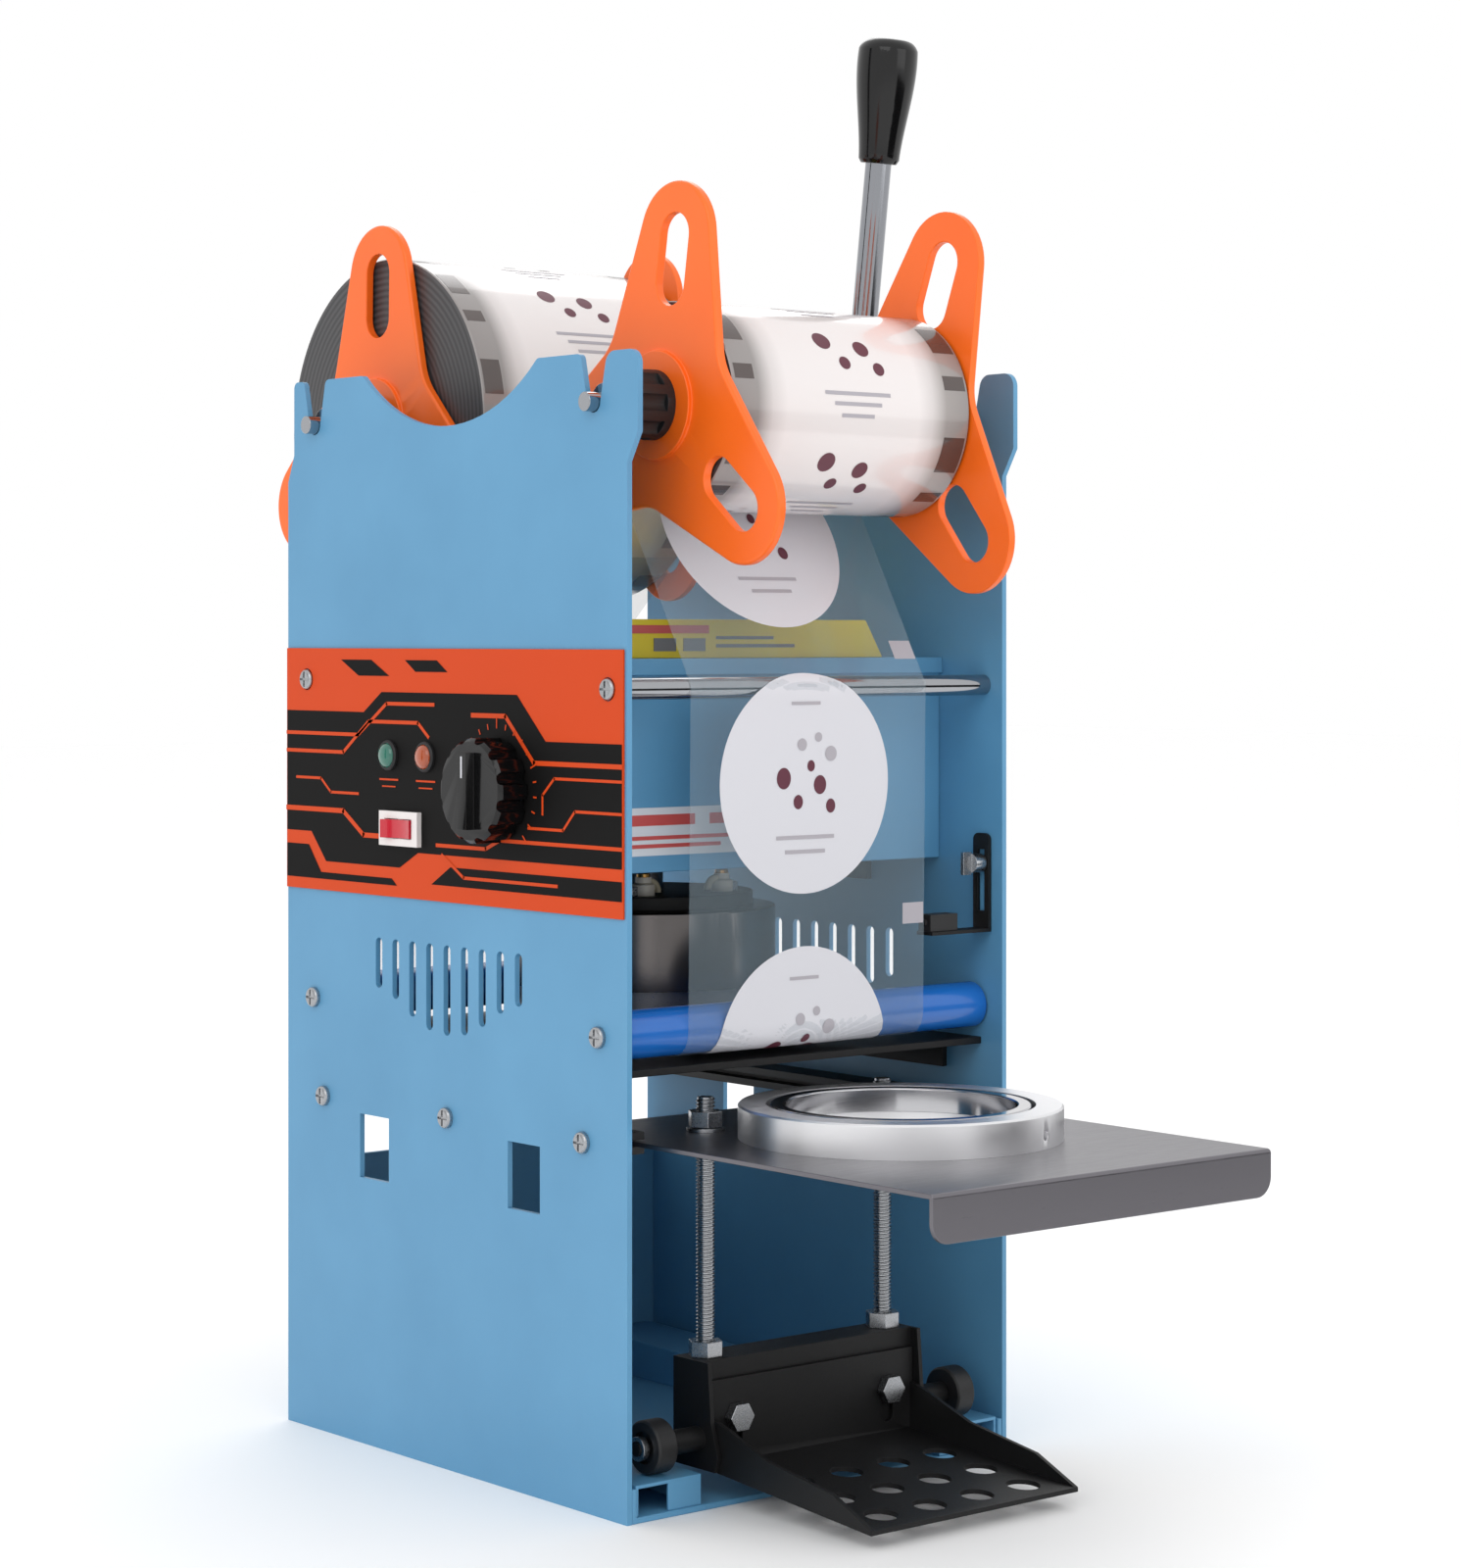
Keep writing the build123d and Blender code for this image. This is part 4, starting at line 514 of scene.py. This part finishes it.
def endMaterial(name, centreY):
    # cut edges of thousands of film layers: dark, with fine rings
    material, tree, output, coords = newMaterial(name)
    place = addNode(tree, "Mapping", {"Vector": (coords, "Object"),
                                      "Location": (0, -centreY * mm, -axleZ * mm)})
    rings = addNode(tree, "TexWave", {"Vector": (place, "Vector"), "Scale": 110.0, "Distortion": 0.6,
                                      "Detail": 3.0, "Detail Scale": 2.0},
                    wave_type="RINGS", rings_direction="X")
    tone = addNode(tree, "ValToRGB", {"Fac": (rings, "Fac")})
    tone.color_ramp.elements[0].color = toLinear("2F2F31")
    tone.color_ramp.elements[1].color = toLinear("4A494B")
    return finishMaterial(material, tree, output, {"Base Color": (tone, "Color"), "Roughness": 0.4})


for key, roll in rolls.items():
    materials[key + "WoundFilm"] = rollMaterial(key + "WoundFilm", roll["y"], roll["r"])
    materials[key + "RollEnd"] = endMaterial(key + "RollEnd", roll["y"])
    x0, x1 = rollX
    shape = turnedShape([(28, x0), (roll["r"] - 0.5, x0), (roll["r"], x0 + 0.5), (roll["r"], x1 - 0.5),
                         (roll["r"] - 0.5, x1), (28, x1)], (0, roll["y"], axleZ), (1, 0, 0), 128)
    bmesh.ops.recalc_face_normals(shape, faces=shape.faces)
    shape.normal_update()
    for face in shape.faces:
        face.material_index = 1 if abs(face.normal.x) > 0.9 else 0
    mesh = meshFrom(shape, key + "Roll")
    piece = addPiece(key + "Roll", mesh, [key + "WoundFilm", key + "RollEnd"], roll["body"])
    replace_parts(piece, roll["node"])


# patches printed on a roll: wide dark register blocks and a print between them
def patchOnRoll(shape, roll, x0, x1, angle, sweep, lift):
    made = bmesh.ops.create_grid(shape, x_segments=2, y_segments=12, size=0.5)
    radius = roll["r"] + lift
    for vert in made["verts"]:
        turn = math.radians(angle + sweep * vert.co.y)
        vert.co = Vector((x0 + (x1 - x0) * (vert.co.x + 0.5), roll["y"] + radius * math.cos(turn),
                          axleZ + radius * math.sin(turn))) * mm


def ovalOnRoll(shape, roll, x, angle, acrossX, aroundMm, lift):
    made = bmesh.ops.create_circle(shape, cap_ends=True, cap_tris=True, segments=20, radius=0.5)
    radius = roll["r"] + lift
    for vert in made["verts"]:
        turn = math.radians(angle) + vert.co.y * aroundMm / radius
        vert.co = Vector((x + vert.co.x * acrossX, roll["y"] + radius * math.cos(turn),
                          axleZ + radius * math.sin(turn))) * mm


for key, roll in rolls.items():
    dark, fruit, grey = bmesh.new(), bmesh.new(), bmesh.new()
    step = 360 / roll["marks"]
    markSweep = math.degrees(16 / roll["r"])
    for k in range(roll["marks"]):
        angle = 205 + k * step
        # a wide mark, and a narrow one after it, near both edges of the film
        for offset, share, lift in ((0, 1, 0.08), (0.42, 0.4, 0.06)):
            for low, high in registerBands:
                patchOnRoll(dark, roll, low, high, angle + step * offset, markSweep * share, lift)
        for dx, offset, across in ((-12, 0.1, 9), (8, 0.16, 8), (-4, 0.3, 6), (14, 0.34, 6)):
            ovalOnRoll(fruit, roll, dx, angle + step * offset, across, across, 0.1)
        for offset, half in ((0.55, 18), (0.63, 13), (0.72, 9)):
            patchOnRoll(grey, roll, -half, half, angle + step * offset,
                        math.degrees(1.6 / roll["r"]), 0.1)
    for shape, finish, word in ((dark, "smokeInk", "Marks"), (fruit, "maroonInk", "Fruit"),
                                (grey, "greyInk", "Rules")):
        inkPiece(key + word, shape, finish, roll["body"])
print("rolls wound")


# control panel print: black field between the orange bands, with orange tracks over it
panel = {"x": -106.0, "rear": 124.5, "front": -123.5, "low": 242.0, "high": 350.0, "lift": 0.12}


def flatPatch(shape, points, lift):
    # points are (y, z) in mm on the panel's face
    corners = [shape.verts.new(((panel["x"] - lift) * mm, y * mm, z * mm)) for y, z in points]
    face = shape.faces.new(corners)
    face.normal_update()
    if face.normal.x > 0:
        face.normal_flip()


def track(shape, points, width, lift):
    for (y0, z0), (y1, z1) in zip(points, points[1:]):
        way = Vector((y1 - y0, z1 - z0)).normalized()
        side = Vector((-way.y, way.x)) * width / 2
        grow = way * width * 0.3
        a, b = Vector((y0, z0)) - grow, Vector((y1, z1)) + grow
        flatPatch(shape, [a + side, b + side, b - side, a - side], lift)


field = bmesh.new()
for points in (
        [(124, 268), (124, 322), (62, 322), (48, 331), (-52, 331), (-72, 312), (-123, 312), (-123, 262),
         (20, 262), (34, 255), (92, 255), (104, 268)],
        [(80, 345), (56, 345), (42, 338), (66, 338)],
        [(30, 345), (6, 345), (-2, 340), (22, 340)],
        [(10, 249), (-4, 257), (-123, 257), (-123, 249)],
        [(124, 247), (124, 262), (106, 262), (96, 250), (40, 250), (36, 247)]):
    flatPatch(field, points, panel["lift"])
bmesh.ops.triangulate(field, faces=field.faces)
inkPiece("panelField", field, "blackInk", "frame")

tracks = bmesh.new()
for points, width in (
        ([(124, 312), (66, 312), (44, 326), (8, 326)], 1.6),
        ([(124, 304), (78, 304), (58, 318), (20, 318), (12, 312)], 1.6),
        ([(124, 278), (78, 278), (62, 268), (48, 268)], 2.2),
        ([(-123, 303), (-64, 303), (-44, 322), (-20, 322)], 2.0),
        ([(-123, 297), (-78, 297), (-70, 290), (-70, 282)], 1.2),
        ([(-123, 270), (-40, 270), (-30, 266), (6, 266)], 1.6),
        ([(-123, 284), (-92, 284), (-84, 276), (-60, 276)], 1.2),
        ([(116, 292), (96, 292), (88, 286), (66, 286)], 1.2),
        ([(2, 262), (-14, 253), (-80, 253)], 1.4)):
    track(tracks, points, width, panel["lift"] * 2)
inkPiece("panelTracks", tracks, "orangeInk", "frame")

# knob scale: a fan of ticks, every fifth one longer
scale = bmesh.new()
knob = {"y": -38.0, "z": 291.0, "ring": 26.0, "ticks": 21}
for k in range(knob["ticks"]):
    turn = math.radians(-45 + 270 * k / (knob["ticks"] - 1))
    way = Vector((math.cos(turn), math.sin(turn)))
    long = 2.0 + 2.0 * (k % 5 == 0)
    start = Vector((knob["y"], knob["z"])) + way * knob["ring"]
    track(scale, [start, start + way * long], 0.7, panel["lift"] * 3)
for y in (42.0, 14.0):   # rules under the lamps in place of words
    track(scale, [(y + 7, 293), (y - 7, 293)], 0.8, panel["lift"] * 3)
    track(scale, [(y + 5, 290), (y - 5, 290)], 0.6, panel["lift"] * 3)
inkPiece("panelScale", scale, "orangeInk", "frame")

# lamps: domed lenses in dark bezels
for name, y, finish in (("greenLamp", 42.0, "greenLens"), ("amberLamp", 14.0, "amberLens")):
    lens = turnedShape([(0, 0), (5.4, 0), (5.4, 1.6), (4.6, 3.0), (2.8, 3.9), (0, 4.2)],
                       (panel["x"], y, 303.5), (-1, 0, 0), 40)
    piece = addPiece(name, meshFrom(lens, name), finish, "frame")
    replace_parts(piece, "lamps")
    bezel = turnedShape([(5.4, 0), (6.6, 0), (6.6, 1.2), (6.1, 1.9), (5.4, 1.9)],
                        (panel["x"], y, 303.5), (-1, 0, 0), 40)
    addPiece(name + "Bezel", meshFrom(bezel, name + "Bezel"), "blackAbs", "frame")

pointer = bmesh.new()
bmesh.ops.create_cube(pointer, size=1.0)
bmesh.ops.scale(pointer, verts=pointer.verts, vec=(0.3 * mm, 1.0 * mm, 9 * mm))
bmesh.ops.translate(pointer, verts=pointer.verts,
                    vec=(-124.4 * mm, knob["y"] * mm, (knob["z"] + 10) * mm))
addPiece("knobPointer", meshFrom(pointer, "knobPointer"), "whiteInk", "knob")
print("panel printed")


# labels on the front panel and the drive cover, with rules in place of words
def labelBox(name, low, high, finish, radius=0.0):
    shape = bmesh.new()
    bmesh.ops.create_cube(shape, size=1.0)
    size = [(h - l) * mm for l, h in zip(low, high)]
    bmesh.ops.scale(shape, verts=shape.verts, vec=size)
    bmesh.ops.translate(shape, verts=shape.verts, vec=[(h + l) / 2 * mm for l, h in zip(low, high)])
    return addPiece(name, meshFrom(shape, name), finish, "frame")


labelBox("panelLabel", (-88, -85.25, 264), (6, -84.9, 284), "labelWhite")
for k, (left, right, low, high) in enumerate((
        (-76, -38, 276.5, 281), (-30, -20, 276.5, 281), (-82, -12, 270.6, 272.2),
        (-82, -24, 267.2, 268.8))):
    labelBox("panelLabelRule%d" % k, (left, -85.4, low), (right, -85.2, high), "redInk")
for k, (left, right, low, high, finish) in enumerate((
        (-60, -18, 356.5, 360, "redInk"), (-48, -36, 349, 354.5, "markGrey"),
        (-32, -20, 349, 354.5, "markGrey"), (-14, 30, 350.5, 352, "markGrey"),
        (-14, 18, 354, 355.4, "markGrey"))):
    labelBox("coverRule%d" % k, (left, -70.3, low), (right, -69.9, high), finish)
print("labels placed")


# heater terminals: steatite posts with brass screws, and stubs of heat-proof lead bent downwards
terminals = {"x": 22.0, "y": -30.0, "low": 242.6, "post": 5.0, "tall": 8.0, "lead": 1.6}
materials["steatite"] = plainMaterial("steatite", {"colour": "D8D2C6", "rough": 0.4})
materials["glassBraid"] = coatedMaterial("glassBraid", {"colour": "C9C1A8", "dark": "B5AC92",
                                                        "grain": 0.5, "rough": 0.8, "bump": 0.6})
for k, x in enumerate((-terminals["x"], terminals["x"])):
    low, post, tall = terminals["low"], terminals["post"], terminals["tall"]
    body = turnedShape([(0, 0), (post, 0), (post, tall * 0.6), (post * 0.7, tall * 0.7),
                        (post * 0.7, tall), (0, tall)], (x, terminals["y"], low), (0, 0, 1), 32)
    addPiece("terminalPost%d" % k, meshFrom(body, "terminalPost"), "steatite", "press_head")
    screw = turnedShape([(0, 0), (3.0, 0), (3.0, 1.4), (2.4, 2.0), (0, 2.0)],
                        (x, terminals["y"], low + tall), (0, 0, 1), 24)
    addPiece("terminalScrew%d" % k, meshFrom(screw, "terminalScrew"), "bearingBronze", "press_head")
    lead = bmesh.new()
    ring = bmesh.ops.create_circle(lead, segments=12, radius=terminals["lead"] * mm)["verts"]
    bmesh.ops.rotate(lead, verts=ring, cent=(0, 0, 0), matrix=Matrix.Rotation(math.pi / 2, 3, "Y"))
    bend = 1 if x < 0 else -1
    bmesh.ops.translate(lead, verts=ring, vec=((x + 3 * bend) * mm, terminals["y"] * mm,
                                               (low + tall - 2) * mm))
    bmesh.ops.spin(lead, geom=ring + lead.edges[:], cent=((x + 3 * bend) * mm, terminals["y"] * mm,
                                                (low + tall - 7) * mm),
                   axis=(0, bend, 0), angle=math.pi / 2, steps=10, use_merge=False)
    addPiece("terminalLead%d" % k, meshFrom(lead, "terminalLead"), "glassBraid", "press_head")
print("terminals wired")


# studio: a pale floor and three soft boxes
backdrop = {"size": 9.0, "colour": "FFFFFF"}
shape = bmesh.new()
bmesh.ops.create_grid(shape, x_segments=1, y_segments=1, size=backdrop["size"])
floorMesh = bpy.data.meshes.new("floor")
shape.to_mesh(floorMesh)
shape.free()
floor = bpy.data.objects.new("floor", floorMesh)
bpy.context.scene.collection.objects.link(floor)
floorMesh.materials.append(plainMaterial("studioPaper", {"colour": "FFFFFF", "rough": 0.9}))

world = bpy.data.worlds.new("studio")
world.use_nodes = True
world.node_tree.nodes["Background"].inputs["Color"].default_value = (1, 1, 1, 1)
world.node_tree.nodes["Background"].inputs["Strength"].default_value = 1.0
bpy.context.scene.world = world
bpy.context.scene.view_settings.view_transform = "Standard"

lights = {
    "keyBox": {"at": (-1.6, -1.3, 1.7), "size": 1.6, "power": 9.0},
    "frontBox": {"at": (0.6, -2.2, 1.0), "size": 1.4, "power": 5.0},
    "rimBox": {"at": (1.2, 1.4, 1.9), "size": 1.2, "power": 7.0},
}
target = Vector((0, 0, 0.28))
for name, setup in lights.items():
    data = bpy.data.lights.new(name, "AREA")
    data.size = setup["size"]
    data.energy = setup["power"]
    light = bpy.data.objects.new(name, data)
    light.location = setup["at"]
    light.rotation_euler = (target - light.location).to_track_quat("-Z", "Y").to_euler()
    bpy.context.scene.collection.objects.link(light)

# dark cards out of sight, so that chrome and brushed steel have something dark to reflect
flags = {
    "flagFront": {"at": (0.62, -1.15, 0.10), "wide": 0.95, "tall": 0.55, "colour": "1A1A1C"},
    "flagRight": {"at": (1.05, 0.25, 0.10), "wide": 0.9, "tall": 0.36, "colour": "3A3A3D"},
    "flagLeft": {"at": (-1.25, 0.55, 0.55), "wide": 0.22, "tall": 1.3, "colour": "202022"},
}
for name, card in flags.items():
    shape = bmesh.new()
    bmesh.ops.create_grid(shape, x_segments=1, y_segments=1, size=0.5)
    bmesh.ops.scale(shape, verts=shape.verts, vec=(card["wide"], card["tall"], 1.0))
    away = Vector((card["at"][0], card["at"][1], 0)).normalized()
    turn = away.to_track_quat("Z", "Y").to_matrix().to_4x4()
    bmesh.ops.transform(shape, matrix=Matrix.Translation(card["at"]) @ turn, verts=shape.verts)
    cardMesh = bpy.data.meshes.new(name)
    shape.to_mesh(cardMesh)
    shape.free()
    cardObject = bpy.data.objects.new(name, cardMesh)
    bpy.context.scene.collection.objects.link(cardObject)
    cardMesh.materials.append(plainMaterial(name + "Cloth", {"colour": card["colour"], "rough": 1.0}))
    cardObject.visible_camera = False
    cardObject.visible_shadow = False
    cardObject.visible_diffuse = False

view = {"at": (-0.9749, -1.2413, 0.355), "towards": (0.6374, 0.7705, 0.0), "lens": 81.36,
        "shiftY": -0.09375}
cameraData = bpy.data.cameras.new("camera")
cameraData.lens = view["lens"]
cameraData.sensor_width = 36.0
cameraData.sensor_fit = "AUTO"
cameraData.shift_y = view["shiftY"]
cameraData.clip_start = 0.05
camera = bpy.data.objects.new("camera", cameraData)
camera.location = view["at"]
camera.rotation_euler = Vector(view["towards"]).to_track_quat("-Z", "Y").to_euler()
bpy.context.scene.collection.objects.link(camera)
bpy.context.scene.camera = camera
print("studio lit")
